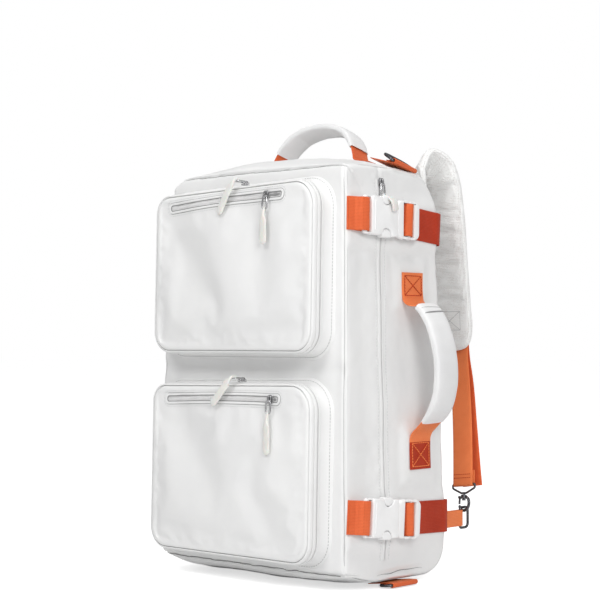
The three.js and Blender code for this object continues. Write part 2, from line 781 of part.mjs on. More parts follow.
function topCarryHandle() {
  const { x, y, halfSpan, apex, lean, width, thickness } = topHandle;
  const leanSlope = Math.tan(degToRad(lean));
  const seat = highestAt(halfSpan, y);
  const rise = apex - thickness / 2 - seat;
  const leaning = v3(0, 1, -leanSlope).normalize();
  // share runs from -1 to 1 along the handle, lift from 0 at the top panel to 1 at the apex
  const point = (share, lift) => v3(x + share * halfSpan, y + lift * rise * leanSlope, seat + lift * rise);
  const slope = (highestAt(halfSpan + x, y + 10) - highestAt(halfSpan + x, y - 10)) / 20;
  const flat = v3(0, 1, slope).normalize();
  const tabSize = { width: width - 4, thickness: webbing.thickness };
  const tabRows = (end) => {
    const sewn = [1.38, 1.12, 1.04].map((share) => {
      const at = x + end * share * halfSpan;
      return bandRow(v3(at, y, highestAt(at, y) + gap + 0.9), flat, tabSize);
    });
    const lifted = [[1, 0.09], [0.97, 0.2], [0.925, 0.336]].map(
      ([share, lift]) => bandRow(point(end * share, lift), leaning, tabSize),
    );
    return [...sewn, ...lifted];
  };
  const sleeveRows = [
    [-0.92, 0.345, 0.6],
    [-0.82, 0.56, 1],
    [-0.6, 0.82, 1],
    [-0.32, 0.96, 1],
    [0, 1, 1],
    [0.32, 0.96, 1],
    [0.6, 0.82, 1],
    [0.82, 0.56, 1],
    [0.92, 0.345, 0.6],
  ].map(([share, lift, full]) => bandRow(point(share, lift), leaning, { width, thickness: full * thickness }));
  carryHandle(bag, 'handle_top', { left: tabRows(-1), right: tabRows(1) }, sleeveRows);
}

// End rings: a folded webbing loop sewn to the body and a D-ring whose bar lies in the fold

function ringRun() {
  const { halfLength, depth } = endRing;
  const corners = [
    { u: -halfLength, v: 0, radius: 4 },
    { u: halfLength, v: 0, radius: 4 },
    { u: halfLength, v: depth, radius: 16 },
    { u: -halfLength, v: depth, radius: 16 },
  ];
  return roundedOutline(corners, [0, 0, 0, 0], 3);
}

function endRingAt(name, frame, { barOut, barStand, stand }) {
  const { depth, wire: radius, webbingWidth, webbingThickness } = endRing;
  bag.add(frame);
  const around = radius + gap + webbingThickness / 2;
  const firstLayer = gap + webbingThickness / 2;
  const secondLayer = firstLayer + webbingThickness + gap;
  const run = [
    [barOut - 42, firstLayer],
    [barOut - 20, firstLayer],
    [barOut - 8, firstLayer],
    [barOut - 2, barStand - around + 0.2],
    [barOut + around * 0.75, barStand - around * 0.7],
    [barOut + around * 0.95, barStand + around * 0.4],
    [barOut, barStand + around],
    [barOut - 5, Math.max(barStand + 0.4, secondLayer + 1)],
    [barOut - 9, secondLayer + 0.1],
    [barOut - 13, secondLayer],
  ];
  const size = { width: webbingWidth, thickness: webbingThickness };
  piece(frame, `ring_loop_${name}`, ribbon(run, 18, size, xAxis, zAxis), 'webbing');
  const ring = wire(ringRun(), radius, true);
  const farStand = firstLayer + webbingThickness / 2 + gap + radius;
  const lying = Math.asin((farStand + stand - barStand) / depth);
  ring.rotateX(-Math.PI / 2);
  ring.rotateZ(Math.PI / 2);
  ring.rotateY(lying);
  const mesh = piece(frame, `d_ring_${name}`, ring, 'gunmetal');
  mesh.position.set(barOut, 0, barStand);
}

// A group on the body's surface: x outwards to the right side, z away from the body. A tilt lifts its front end.
function surfaceFrame({ x, y, tilt, raise }, heightAt, away) {
  const step = 8;
  const outwards = v3(2 * step, 0, heightAt(x + step, y) - heightAt(x - step, y)).normalize();
  const backwards = v3(0, 2 * step, heightAt(x, y + step) - heightAt(x, y - step));
  const normal = outwards.clone().cross(backwards).multiplyScalar(away).normalize();
  const across = normal.clone().cross(outwards);
  const frame = new THREE.Group();
  frame.applyMatrix4(new THREE.Matrix4().makeBasis(outwards, across, normal).setPosition(x, y, heightAt(x, y)));
  frame.translateZ(raise);
  frame.rotateX(-degToRad(tilt));
  return frame;
}

// Shoulder straps: padded strap, webbing, snap hook and anchor. Made for the right side, mirrored for the left

const padRows = [
  { x: 92, y: 110.6, z: 468, yaw: 0, roll: 0, width: 0.8, thickness: 0.5 },
  { x: 93, y: 112, z: 498, yaw: 0, roll: 5, width: 0.9, thickness: 0.7 },
  { x: 96, y: 117, z: 525, yaw: 0, roll: 14, width: 1, thickness: 0.9 },
  { x: 101, y: 125, z: 547, yaw: -2, roll: 28, width: 1, thickness: 1 },
  { x: 106.5, y: 135, z: 564, yaw: -4, roll: 40, width: 1, thickness: 1 },
  { x: 112.5, y: 147, z: 572.5, yaw: -5, roll: 45, width: 1, thickness: 1 },
  { x: 118, y: 158, z: 567, yaw: -6, roll: 41, width: 1, thickness: 1 },
  { x: 122.5, y: 167, z: 548, yaw: -6, roll: 30, width: 1, thickness: 1 },
  { x: 126, y: 174, z: 510, yaw: -6, roll: 15, width: 1, thickness: 1 },
  { x: 127.5, y: 180, z: 440, yaw: -5, roll: 5, width: 1, thickness: 1 },
  { x: 129.5, y: 184.5, z: 372, yaw: -4, roll: 0, width: 1, thickness: 1 },
  { x: 132.5, y: 186.5, z: 330, yaw: -4, roll: 0, width: 0.94, thickness: 1 },
  { x: 133.5, y: 187.1, z: 316, yaw: -4, roll: 0, width: 0.78, thickness: 0.9 },
  { x: 134, y: 187.5, z: 309, yaw: -4, roll: 0, width: 0.5, thickness: 0.7 },
];

const padEndYaw = degToRad(-5);
const padAcross = v3(Math.cos(padEndYaw), Math.sin(padEndYaw), 0);

function shoulderPad() {
  const rows = padRows.map(({ x, y, z, yaw, roll, width, thickness }) => ({
    centre: v3(x, y, z),
    across: v3(1, 0, 0).applyEuler(new THREE.Euler(0, -degToRad(roll), degToRad(yaw), 'ZYX')),
    halfWidth: (width * shoulder.width) / 2,
    halfThick: (thickness * shoulder.thickness) / 2,
  }));
  return sweep(rows, padSection);
}

// The hook's own axes: z up the webbing, x across it. Its seat lies on the upper side of the anchor ring.
const hookUp = v3(-0.11, 0.155, 0.982).normalize();
const hookAcross = xAxis.clone().addScaledVector(hookUp, -hookUp.x).normalize();
const hookSeat = v3(anchor.x, anchor.bar + anchor.ringDepth / 2, anchor.height + anchor.ringHalf);
const hookMatrix = new THREE.Matrix4()
  .makeBasis(hookAcross, hookUp.clone().cross(hookAcross), hookUp)
  .setPosition(hookSeat.clone().addScaledVector(hookUp, -hook.seat));

function eyeGeometry() {
  const corners = [
    { u: -hook.eyeHalf, v: hook.eyeTop, radius: 2 },
    { u: -hook.eyeHalf, v: hook.eyeShoulder, radius: 2 },
    { u: -4.5, v: 1.4, radius: 2 },
    { u: 4.5, v: 1.4, radius: 2 },
    { u: hook.eyeHalf, v: hook.eyeShoulder, radius: 2 },
    { u: hook.eyeHalf, v: hook.eyeTop, radius: 2 },
  ];
  const loop = wire(roundedOutline(corners, [0, 0, 0, 0, 0, 1], 1), hook.eyeWire, true);
  const post = rod(hook.post, hook.head.from + 0.5, 1.6, 8);
  const head = rod(hook.headRadius, hook.head.from, hook.head.to);
  return join(loop, post, head);
}

function hookBodyGeometry() {
  const { collar, collarRadius, hinge } = hook;
  const middle = (collar.from + collar.to) / 2;
  const bow = smoothRun([
    [3.4, middle],
    [7.4, -6.6],
    [9, -13],
    [6.6, -20.2],
    [0, -23.5],
    [-5.6, -21.4],
    [-7.9, -15.6],
  ], 11);
  const ears = [-1, 1].map((edge) => {
    const ear = box(4.8, 1, 3.8);
    ear.translate(-6, edge * 2.4, hinge.z);
    return ear;
  });
  const pin = new THREE.CylinderGeometry(0.8, 0.8, 5.4, 8);
  pin.translate(hinge.x, 0, hinge.z);
  const ring = solidOf(rod(collarRadius.outer, collar.from, collar.to));
  const whole = [wire(bow, hook.wire, false), ...ears].map(solidOf).reduce((sum, part) => sum.add(part), ring);
  const bore = solidOf(rod(collarRadius.inner, collar.from - 5, collar.to + 5));
  return geometryOf(whole.subtract(bore).add(solidOf(pin)));
}

function gateGeometry() {
  const { hinge } = hook;
  const knuckle = new THREE.CylinderGeometry(1.9, 1.9, 3, 10);
  knuckle.translate(hinge.x, 0, hinge.z);
  const lever = wire([v2(hinge.x, hinge.z - 1.4), v2(hinge.x - 0.5, -9), v2(-7.8, -14.2)], hook.gateWire, false);
  const hole = new THREE.CylinderGeometry(1.2, 1.2, 8, 10);
  hole.translate(hinge.x, 0, hinge.z);
  return geometryOf(solidOf(knuckle).add(solidOf(lever)).subtract(solidOf(hole)));
}

const foldSteps = 4; // of the webbing round the hook's eye

function shoulderWebbing() {
  const { webbingWidth, webbingThickness } = shoulder;
  const size = { width: webbingWidth, thickness: webbingThickness };
  const behindPad = shoulder.thickness / 2 + gap + webbingThickness / 2;
  const upper = [
    { centre: v3(138.6, 185.4 + behindPad, 350), turn: 0 },
    { centre: v3(137.4, 186.8 + behindPad, 316), turn: 0 },
    { centre: v3(138, 193, 298), turn: 0.2 },
    { centre: v3(144, 188, 268), turn: 0.5 },
    { centre: v3(155.5, 177.5, 205), turn: 0.9 },
  ].map(({ centre, turn }) => bandRow(centre, padAcross.clone().lerp(hookAcross, turn), size));
  const around = hook.eyeWire + gap + webbingThickness / 2;
  const fold = [[-around, hook.eyeTop + 24], [-around, hook.eyeTop + 10], [-around, hook.eyeTop + 1.5]];
  for (let s = 0; s <= foldSteps; s += 1) {
    const angle = Math.PI * (1 + s / foldSteps);
    fold.push([around * Math.cos(angle), hook.eyeTop + around * Math.sin(angle)]);
  }
  fold.push([around, hook.eyeTop + 1.5], [around, hook.eyeTop + 20]);
  const lower = fold.map(([y, z]) => bandRow(v3(0, y, z).applyMatrix4(hookMatrix), hookAcross, size));
  return sweep([...upper, ...lower], flatSection);
}

function shoulderTail() {
  const size = { width: shoulder.webbingWidth, thickness: shoulder.webbingThickness };
  const rows = [
    { centre: v3(138.4, 195.6, 344), turn: 0 },
    { centre: v3(137.6, 196.8, 316), turn: 0 },
    { centre: v3(139, 197, 296), turn: 0.2 },
    { centre: v3(147, 194, 260), turn: 0.5 },
    { centre: v3(158, 187, 200), turn: 0.9 },
    { centre: v3(167, 182, 146), turn: 1 },
    { centre: v3(172, 180, 112), turn: 1 },
  ].map(({ centre, turn }) => bandRow(centre, padAcross.clone().lerp(hookAcross, turn), size));
  return sweep(rows, flatSection);
}

function anchorLoop(base) {
  const { x, bar, webbingWidth, wire: radius } = anchor;
  const around = radius + gap + webbing.thickness / 2;
  const run = [
    [base, -around + 0.6],
    [bar - 8, -around + 0.4],
    [bar - 2, -around],
    [bar + around * 0.7, -around * 0.72],
    [bar + around, 0],
    [bar + around * 0.7, around * 0.72],
    [bar - 2, around],
    [bar - 8, around - 0.4],
    [base, around - 0.6],
  ];
  const loop = ribbon(run, 18, { width: webbingWidth, thickness: webbing.thickness }, yAxis, xAxis);
  loop.translate(x, 0, anchor.height);
  return loop;
}

function anchorRing() {
  const { x, bar, height, ringHalf, ringDepth, wire: radius } = anchor;
  const corners = [
    { u: 0, v: -ringHalf, radius: 3 },
    { u: ringDepth, v: -ringHalf, radius: 6 },
    { u: ringDepth, v: ringHalf, radius: 6 },
    { u: 0, v: ringHalf, radius: 3 },
  ];
  const ring = wire(roundedOutline(corners, [0, 0, 0, 0], 3), radius, true);
  ring.rotateZ(Math.PI / 2);
  ring.translate(x, bar, height);
  return ring;
}

function mirrored(geometry) {
  const copy = geometry.clone().applyMatrix4(new THREE.Matrix4().makeScale(-1, 1, 1));
  copy.setIndex(Array.from(geometry.index.array).reverse());
  copy.computeVertexNormals();
  return copy;
}

function shoulderStrap(end, anchorBase, place) {
  const onHook = (geometry) => geometry.applyMatrix4(hookMatrix);
  const parts = [
    ['shoulder_pad', shoulderPad(), 'padding'],
    ['shoulder_webbing', shoulderWebbing(), 'webbing'],
    ['shoulder_tail', shoulderTail(), 'webbing'],
    ['hook_eye', onHook(eyeGeometry()), 'gunmetal'],
    ['hook_body', onHook(hookBodyGeometry()), 'gunmetal'],
    ['hook_gate', onHook(gateGeometry()), 'gunmetal'],
    ['anchor_loop', geometryOf(solidOf(anchorLoop(anchorBase))), 'webbing'],
    ['anchor_ring', anchorRing(), 'gunmetal'],
  ];
  parts.forEach(([name, geometry, finish]) => piece(bag, `${name}_${end}`, place(geometry), finish));
}

// Assembly

bodyPanels();

const sideSlider = piece(side, 'side_zip_slider', sliderGeometry().rotateZ(Math.PI / 2), 'nickel');
sideSlider.position.set(0, sideZip.y, sideZip.slider);
const overBuckle = [
  [0, -8.2, -17],
  [2, -11, -20],
  [5, -16.5, -22.5],
  [8, -19, -30],
  [10, -19.2, -40],
];
const sidePull = piece(side, 'side_zip_pull', pullGeometry(overBuckle).rotateZ(Math.PI / 2), 'cord');
sidePull.position.copy(sideSlider.position);

pockets.forEach(frontPocket);
straps.forEach(compressionStrap);
sideCarryHandle();
topCarryHandle();

endRingAt('top', surfaceFrame(endRings.top, highestAt, 1), endRings.top);
endRingAt('bottom', surfaceFrame(endRings.bottom, lowestAt, -1), endRings.bottom);

const onPanel = backAt(anchor.height) + gap;
const onStrap = onPanel + straps[1].loose + webbing.thickness / 2 + 2 * gap; // sewn on over the lower strap
shoulderStrap('right', onStrap, (geometry) => geometry);
shoulderStrap('left', onPanel, mirrored);

bag.position.z = body.sag; // the bottom's flat patch lies on the ground

export default bag;
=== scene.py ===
import json
import math

import bmesh
import bpy
import numpy as np
from mathutils import Matrix, Vector, noise
from mathutils.bvhtree import BVHTree


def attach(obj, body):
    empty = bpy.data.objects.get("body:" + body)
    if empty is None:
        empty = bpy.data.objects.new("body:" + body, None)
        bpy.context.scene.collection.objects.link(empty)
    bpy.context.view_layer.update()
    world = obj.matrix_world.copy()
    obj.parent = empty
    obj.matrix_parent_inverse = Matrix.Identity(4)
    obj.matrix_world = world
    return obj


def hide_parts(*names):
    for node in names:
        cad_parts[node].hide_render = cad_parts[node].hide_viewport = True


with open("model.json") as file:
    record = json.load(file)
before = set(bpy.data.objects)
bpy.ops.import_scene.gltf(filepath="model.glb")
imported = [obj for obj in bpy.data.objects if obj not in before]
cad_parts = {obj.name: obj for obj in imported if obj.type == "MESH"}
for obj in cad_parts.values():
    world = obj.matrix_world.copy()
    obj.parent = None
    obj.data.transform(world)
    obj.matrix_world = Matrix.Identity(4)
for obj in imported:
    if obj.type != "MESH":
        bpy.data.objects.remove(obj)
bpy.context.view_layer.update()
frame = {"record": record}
scene = bpy.context.scene
mm = 0.001  # the bag's sizes are in millimetres, and its heights start at the front panel's lower edge
quarter = math.pi / 2
xAxis, yAxis, zAxis = (1.0, 0, 0), (0, 1.0, 0), (0, 0, 1.0)
bodies = frame["record"]["behaviour"]["bodies"]
nodeBody = {node: owner for owner, nodes in bodies.items() for node in nodes}

body = dict(
    height=560, topFall=12, crown=30, halfLow=182, halfHigh=170, frontLow=-107, frontHigh=-94,
    backLow=111, backHigh=102, wall=3, edge=10, leftSwell=8, sag=12, lift=8, flatRight=0.33, flatLeft=0.6,
    sideCrown=7, leftFall=10, seamIn=5, frontLowArc=14, frontHighArc=8, backHighArc=46, backLowArc=46,
)

# Camera, in millimetres, and light, in metres and watts

view = dict(azimuth=43.048, pitch=-1.432, lens=94.42, sensor=36, distance=2265.2, right=-0.66, aim=392.5)


def addAimed(name, data, place, way):
    obj = bpy.data.objects.new(name, data)
    obj.location = place
    obj.rotation_mode = "QUATERNION"
    obj.rotation_quaternion = way.to_track_quat("-Z", "Y")
    scene.collection.objects.link(obj)
    return obj


def makeCamera():
    a, e = math.radians(view["azimuth"]), math.radians(view["pitch"])
    right = Vector((math.cos(a), math.sin(a), 0))
    back = Vector((math.sin(a) * math.cos(e), -math.cos(a) * math.cos(e), math.sin(e)))
    data = bpy.data.cameras.new("photoCamera")
    data.lens = view["lens"]
    data.sensor_width = view["sensor"]
    aim = right * view["right"] + Vector((0, 0, view["aim"]))
    scene.camera = addAimed("photoCamera", data, (aim + back * view["distance"]) * mm, -back)


white = (1, 1, 1, 1)
studio = dict(floor=24.0, ambient=0.4, backdrop=1.0, glow=0.64)
lamps = [
    dict(name="keyLamp", place=(0.3, -2.8, 2.6), aim=(0, -0.1, 0.3), size=1.2, power=33),
    dict(name="topLamp", place=(0.5, -0.4, 2.9), aim=(0, 0, 0.4), size=1.4, power=20),
    dict(name="rightLamp", place=(2.6, -1.5, 1.6), aim=(0.1, 0, 0.3), size=1.2, power=37),
]


def makeStudio():
    world = bpy.data.worlds.new("studioWorld")
    world.use_nodes = True
    tree = world.node_tree
    tree.nodes.clear()
    light = addNode(tree, "Background", Strength=studio["ambient"], Color=white).outputs[0]
    seen = addNode(tree, "Background", Strength=studio["backdrop"], Color=white).outputs[0]
    ray = addNode(tree, "LightPath").outputs["Is Camera Ray"]
    choose = addNode(tree, "MixShader", at0=ray, at1=light, at2=seen)
    addNode(tree, "OutputWorld", Surface=choose.outputs[0])
    scene.world = world
    scene.view_settings.view_transform = "Standard"
    for lamp in lamps:
        data = bpy.data.lights.new(lamp["name"], "AREA")
        data.shape = "DISK"
        data.size = lamp["size"]
        data.energy = lamp["power"]
        addAimed(lamp["name"], data, lamp["place"], Vector(lamp["aim"]) - Vector(lamp["place"]))
    bpy.ops.mesh.primitive_circle_add(vertices=96, radius=studio["floor"], fill_type="NGON")
    floor = bpy.context.object
    floor.name = "studioFloor"
    floor.data.materials.append(finishes["floor"])


# Finishes: node groups shared by the materials, then the materials


def addNode(tree, kind, props=None, **sockets):
    made = tree.nodes.new("ShaderNode" + kind)
    for key, value in (props or {}).items():
        setattr(made, key, value)
    for key, value in sockets.items():
        place = int(key[2:]) if key.startswith("at") else key.replace("_", " ")
        socket = made.inputs[place]
        if isinstance(value, bpy.types.NodeSocket):
            tree.links.new(value, socket)
        else:
            socket.default_value = value
    return made


def maths(tree, operation, *values):
    sockets = {f"at{k}": value for k, value in enumerate(values)}
    return addNode(tree, "Math", {"operation": operation}, **sockets).outputs[0]


def newGroup(name, inputs, outputs):
    tree = bpy.data.node_groups.new(name, "ShaderNodeTree")
    for label, value in inputs.items():
        kind = "NodeSocketColor" if isinstance(value, tuple) else "NodeSocketFloat"
        tree.interface.new_socket(label, in_out="INPUT", socket_type=kind).default_value = value
    for label, kind in outputs.items():
        tree.interface.new_socket(label, in_out="OUTPUT", socket_type="NodeSocket" + kind)
    return tree, tree.nodes.new("NodeGroupInput").outputs, tree.nodes.new("NodeGroupOutput").inputs


def makeDrift():  # slow change of tone and gloss over a surface
    inputs = {"Color": white, "Shade": (0.8, 0.8, 0.8, 1), "Scale": 14.0, "Gloss": 0.4, "Spread": 0.1}
    tree, given, out = newGroup("toneDrift", inputs, {"Color": "Color", "Roughness": "Float"})
    place = addNode(tree, "TexCoord").outputs["Object"]
    slow = addNode(tree, "TexNoise", Vector=place, Scale=given["Scale"], Detail=4.0, Roughness=0.6)
    mask = addNode(tree, "MapRange", at0=slow.outputs["Fac"], at1=0.35, at2=0.75).outputs[0]
    mix = addNode(tree, "Mix", {"data_type": "RGBA"}, Factor=mask, at6=given["Color"], at7=given["Shade"])
    spread = maths(tree, "MULTIPLY", mask, given["Spread"])
    tree.links.new(mix.outputs[2], out["Color"])
    tree.links.new(maths(tree, "ADD", spread, given["Gloss"]), out["Roughness"])
    return tree


def makeGrain():  # fine pebbled grain of a coated or moulded surface
    inputs = {"Scale": 900.0, "Soft": 120.0, "Soft Share": 0.4}
    tree, given, out = newGroup("fineGrain", inputs, {"Height": "Float"})
    place = addNode(tree, "TexCoord").outputs["Object"]
    cells = addNode(tree, "TexVoronoi", {"feature": "SMOOTH_F1"}, Vector=place, Scale=given["Scale"])
    soft = addNode(tree, "TexNoise", Vector=place, Scale=given["Soft"], Detail=3.0)
    mix = addNode(tree, "Mix", {"data_type": "FLOAT"}, at0=given["Soft Share"],
                  at2=cells.outputs["Distance"], at3=soft.outputs["Fac"])
    tree.links.new(mix.outputs[0], out["Height"])
    return tree


def makeWeave():  # woven ribs that follow a strap: u runs along it and v across it, in millimetres
    tree, given, out = newGroup("ribWeave", {"Rib": 1.5, "Pick": 0.9}, {"Height": "Float", "Shade": "Float"})
    split = addNode(tree, "SeparateXYZ", Vector=addNode(tree, "TexCoord").outputs["UV"]).outputs
    along = maths(tree, "MULTIPLY", maths(tree, "DIVIDE", split["X"], given["Pick"]), 2 * math.pi)
    ribs = maths(tree, "DIVIDE", split["Y"], given["Rib"])
    shift = maths(tree, "MULTIPLY", maths(tree, "ROUND", ribs), math.pi)
    pick = maths(tree, "SINE", maths(tree, "ADD", along, shift))
    rib = maths(tree, "COSINE", maths(tree, "MULTIPLY", ribs, 2 * math.pi))
    both = maths(tree, "MULTIPLY_ADD", pick, 0.5, rib)
    height = addNode(tree, "MapRange", at0=both, at1=-1.5, at2=1.5)
    tree.links.new(height.outputs[0], out["Height"])
    tree.links.new(height.outputs[0], out["Shade"])
    return tree


def makeKnit():  # small open cells of a padded mesh cloth
    tree, given, out = newGroup("knitCells", {"Scale": 420.0}, {"Height": "Float", "Shade": "Float"})
    place = addNode(tree, "TexCoord").outputs["Object"]
    cells = addNode(tree, "TexVoronoi", {"feature": "F1"}, Vector=place, Scale=given["Scale"],
                    Randomness=0.35)
    hole = addNode(tree, "MapRange", at0=cells.outputs["Distance"], at1=0.1, at2=0.6)
    tree.links.new(hole.outputs[0], out["Height"])
    tree.links.new(hole.outputs[0], out["Shade"])
    return tree


groups = {"drift": makeDrift(), "grain": makeGrain(), "weave": makeWeave(), "knit": makeKnit()}


def grained(size, soft, share, depth):
    return dict(relief="grain", values={"Scale": size, "Soft": soft, "Soft Share": share}, depth=depth)


def woven(rib, pick):
    return dict(relief="weave", values={"Rib": rib, "Pick": pick}, depth=0.0003)


def grey(light, dark):
    return dict(color=(light,) * 3, shade=(dark,) * 3)


strapSheen = {"Sheen Weight": 0.4, "Sheen Roughness": 0.35, "Sheen Tint": (1.0, 0.5, 0.22, 1),
              "Specular Tint": (1.0, 0.62, 0.38, 1)}
looks = {
    "coated": dict(color=(0.83, 0.83, 0.825), shade=(0.775, 0.775, 0.775), scale=9, gloss=0.43, spread=0.12,
                   **grained(1100, 160, 0.35, 0.00012), fixed={"Specular IOR Level": 0.45}),
    "sleeve": dict(color=(0.8, 0.8, 0.8), shade=(0.74, 0.74, 0.745), scale=16, gloss=0.55, spread=0.12,
                   **grained(700, 140, 0.5, 0.0002), fixed={"Sheen Weight": 0.1}),
    "padCloth": dict(color=(0.88, 0.885, 0.875), shade=(0.83, 0.835, 0.825), scale=20, gloss=0.72,
                     spread=0.1, relief="knit", values={"Scale": 430}, depth=0.0005,
                     fixed={"Sheen Weight": 0.2}),
    "webbing": dict(color=(0.8, 0.15, 0.05), shade=(0.72, 0.12, 0.038), scale=30, gloss=0.36, spread=0.12,
                    **woven(1.9, 1.1), fixed=strapSheen),
    # painted light: a lighter copy of the webbing, for pieces that face the light
    "webbingPaintedLight": dict(color=(0.95, 0.25, 0.085), shade=(0.87, 0.21, 0.07), scale=30, gloss=0.36,
                        spread=0.12, **woven(1.9, 1.1), fixed=strapSheen),
    # painted shade: a darker copy of the webbing, for pieces turned away from the light; its dark tone also
    # colours some stitches
    "webbingDeep": dict(color=(0.5, 0.042, 0.016), shade=(0.42, 0.032, 0.012), scale=30, gloss=0.45,
                        spread=0.12, **woven(1.9, 1.1), fixed={"Specular Tint": (1.0, 0.5, 0.3, 1)}),
    "plastic": dict(**grey(0.9, 0.86), scale=40, gloss=0.3, spread=0.12, **grained(1500, 300, 0.5, 0.00005)),
    "nickel": dict(color=(0.66, 0.66, 0.67), shade=(0.3, 0.3, 0.31), scale=220, gloss=0.14, spread=0.16,
                   **grained(900, 240, 0.7, 0.00004), fixed={"Metallic": 1.0}),
    "gunmetal": dict(color=(0.17, 0.17, 0.18), shade=(0.07, 0.07, 0.078), scale=160, gloss=0.2, spread=0.18,
                     **grained(900, 240, 0.7, 0.00004), fixed={"Metallic": 1.0}),
    "tape": dict(color=(0.8, 0.8, 0.8), shade=(0.73, 0.73, 0.735), scale=60, gloss=0.62, spread=0.12,
                 **woven(0.9, 0.8)),
    "teeth": dict(**grey(0.72, 0.62), scale=90, gloss=0.38, spread=0.14, **grained(1600, 300, 0.5, 0.00004)),
    "rubber": dict(color=(0.78, 0.775, 0.74), shade=(0.7, 0.695, 0.66), scale=70, gloss=0.4, spread=0.15,
                   **grained(1300, 260, 0.4, 0.00006),
                   fixed={"Subsurface Weight": 0.15, "Subsurface Scale": 0.004}),
    # painted shade: dark and pale grey for the lines in seams, grooves, creases and slits
    "seamShade": dict(**grey(0.3, 0.22), scale=60, gloss=0.7, spread=0.1, **grained(1500, 300, 0.4, 0.0001)),
    "seamPale": dict(**grey(0.52, 0.44), scale=60, gloss=0.7, spread=0.1, **grained(1500, 300, 0.4, 0.0001)),
    "whiteThread": dict(**grey(0.7, 0.6), scale=200, gloss=0.6, spread=0.1,
                        **grained(2500, 600, 0.4, 0.0001)),
    "orangeThread": dict(color=(0.92, 0.27, 0.08), shade=(0.82, 0.2, 0.055), scale=200, gloss=0.5,
                         spread=0.1, **grained(2500, 600, 0.4, 0.0001)),
    "floor": dict(**grey(0.9, 0.87), scale=2, gloss=0.7, spread=0.05, **grained(60, 12, 0.5, 0.0001)),
}
valleyShade = dict(tint=(0.72, 0.66, 0.64, 1), share=0.8, below=0.55)  # painted shade: the valleys of a weave or knit are made a little darker


def makeFinish(name, look):
    material = bpy.data.materials.new(name)
    material.use_nodes = True
    tree = material.node_tree
    shader = tree.nodes["Principled BSDF"]
    tones = dict(Color=(*look["color"], 1), Shade=(*look["shade"], 1))
    drift = addNode(tree, "Group", {"node_tree": groups["drift"]}, **tones, Scale=look["scale"],
                    Gloss=look["gloss"], Spread=look["spread"])
    relief = addNode(tree, "Group", {"node_tree": groups[look["relief"]]})
    for label, value in look["values"].items():
        relief.inputs[label].default_value = value
    bump = addNode(tree, "Bump", Height=relief.outputs["Height"], Distance=look["depth"], Strength=1.0)
    color = drift.outputs["Color"]
    # painted shade: the relief's valleys darken the colour
    if "Shade" in relief.outputs:
        low = addNode(tree, "MapRange", at0=relief.outputs["Shade"], at1=valleyShade["below"], at2=0.0, at3=0.0,
                      at4=valleyShade["share"])
        deep = addNode(tree, "Mix", {"data_type": "RGBA", "blend_type": "MULTIPLY"}, Factor=low.outputs[0],
                       at6=color, at7=valleyShade["tint"])
        color = deep.outputs[2]
    tree.links.new(color, shader.inputs["Base Color"])
    tree.links.new(drift.outputs["Roughness"], shader.inputs["Roughness"])
    tree.links.new(bump.outputs["Normal"], shader.inputs["Normal"])
    for label, value in look.get("fixed", {}).items():
        shader.inputs[label].default_value = value
    if name == "floor":  # the floor looks as white as the backdrop, and keeps a soft shadow
        ray = addNode(tree, "LightPath").outputs["Is Camera Ray"]
        shader.inputs["Emission Color"].default_value = white
        tree.links.new(maths(tree, "MULTIPLY", ray, studio["glow"]), shader.inputs["Emission Strength"])
    return material


finishes = {name: makeFinish(name, look) for name, look in looks.items()}
print("finishes made")

# Places and points


def shifted(x, y, z):
    return Matrix.Translation((x, y, z))


def turned(angle, axis):
    return Matrix.Rotation(angle, 4, axis)


def matrixOf(*axes):  # a place from its three axes and its origin
    matrix = Matrix.Identity(4)
    for k, axis in enumerate(axes):
        for r in range(3):
            matrix[r][k] = axis[r]
    return matrix


def unit(v):
    return v / np.maximum(np.linalg.norm(v, axis=-1, keepdims=True), 1e-9)


def stacked(*parts):  # points from their coordinates, of which some may be one number
    return np.stack(np.broadcast_arrays(*parts), -1)


def lengthsAlong(path):
    return np.concatenate([[0.0], np.cumsum(np.linalg.norm(np.diff(path, axis=0), axis=1))])


def bell(distance, width):
    return np.exp(-((distance / width) ** 2))


def smooth(value, low, high):
    t = np.clip((value - low) / (high - low), 0, 1)
    return t * t * (3 - 2 * t)


def cloudy(points, size, seed):  # soft noise between about -1 and 1, with lumps of that size
    spots = [(p[0] / size + seed, p[1] / size - seed, p[2] / size) for p in points]
    return np.array([noise.noise(Vector(spot)) for spot in spots])


def softFold(u, v, fold):
    a = math.radians(fold["angle"])
    du, dv = u - fold["u"], v - fold["v"]
    along, off = du * math.cos(a) + dv * math.sin(a), dv * math.cos(a) - du * math.sin(a)
    return fold["depth"] * bell(off, fold["width"]) * np.exp(-((along / fold["length"]) ** 4))


# Shapes: points, faces and the place of each point along and across the piece


def shapeOf(points, faces, uv=None):
    points = np.asarray(points, float).reshape(-1, 3)
    uv = np.zeros((len(points), 2)) if uv is None else np.asarray(uv, float).reshape(-1, 2)
    return dict(points=points, faces=faces, uv=uv)


def joined(shapes):
    faces, start = [], 0
    for shape in shapes:
        faces += [tuple(i + start for i in face) for face in shape["faces"]]
        start += len(shape["points"])
    points, uv = (np.concatenate([shape[key] for shape in shapes]) for key in ("points", "uv"))
    return shapeOf(points, faces, uv)


def placed(shape, matrix):
    m = np.array(matrix)
    return dict(shape, points=shape["points"] @ m[:3, :3].T + m[:3, 3])


def mirrored(shape):
    return dict(shape, points=shape["points"] * (-1, 1, 1), faces=[face[::-1] for face in shape["faces"]])


def gridFaces(rows, columns, wrapRows=False, wrapColumns=False):
    faces = []
    for r in range(rows if wrapRows else rows - 1):
        near, far = r * columns, ((r + 1) % rows) * columns
        for c in range(columns if wrapColumns else columns - 1):
            beside = (c + 1) % columns
            faces.append((near + c, near + beside, far + beside, far + c))
    return faces


def sheetOf(grid):
    return shapeOf(grid, gridFaces(*grid.shape[:2]))


def beltOf(grid, closed=False, caps=False, uv=None):  # rings of points, joined into a tube
    rows, columns = grid.shape[:2]
    faces = gridFaces(rows, columns, closed, True)
    if caps and not closed:
        faces.append(tuple(range(columns))[::-1])
        faces.append(tuple(range((rows - 1) * columns, rows * columns)))
    return shapeOf(grid, faces, uv)


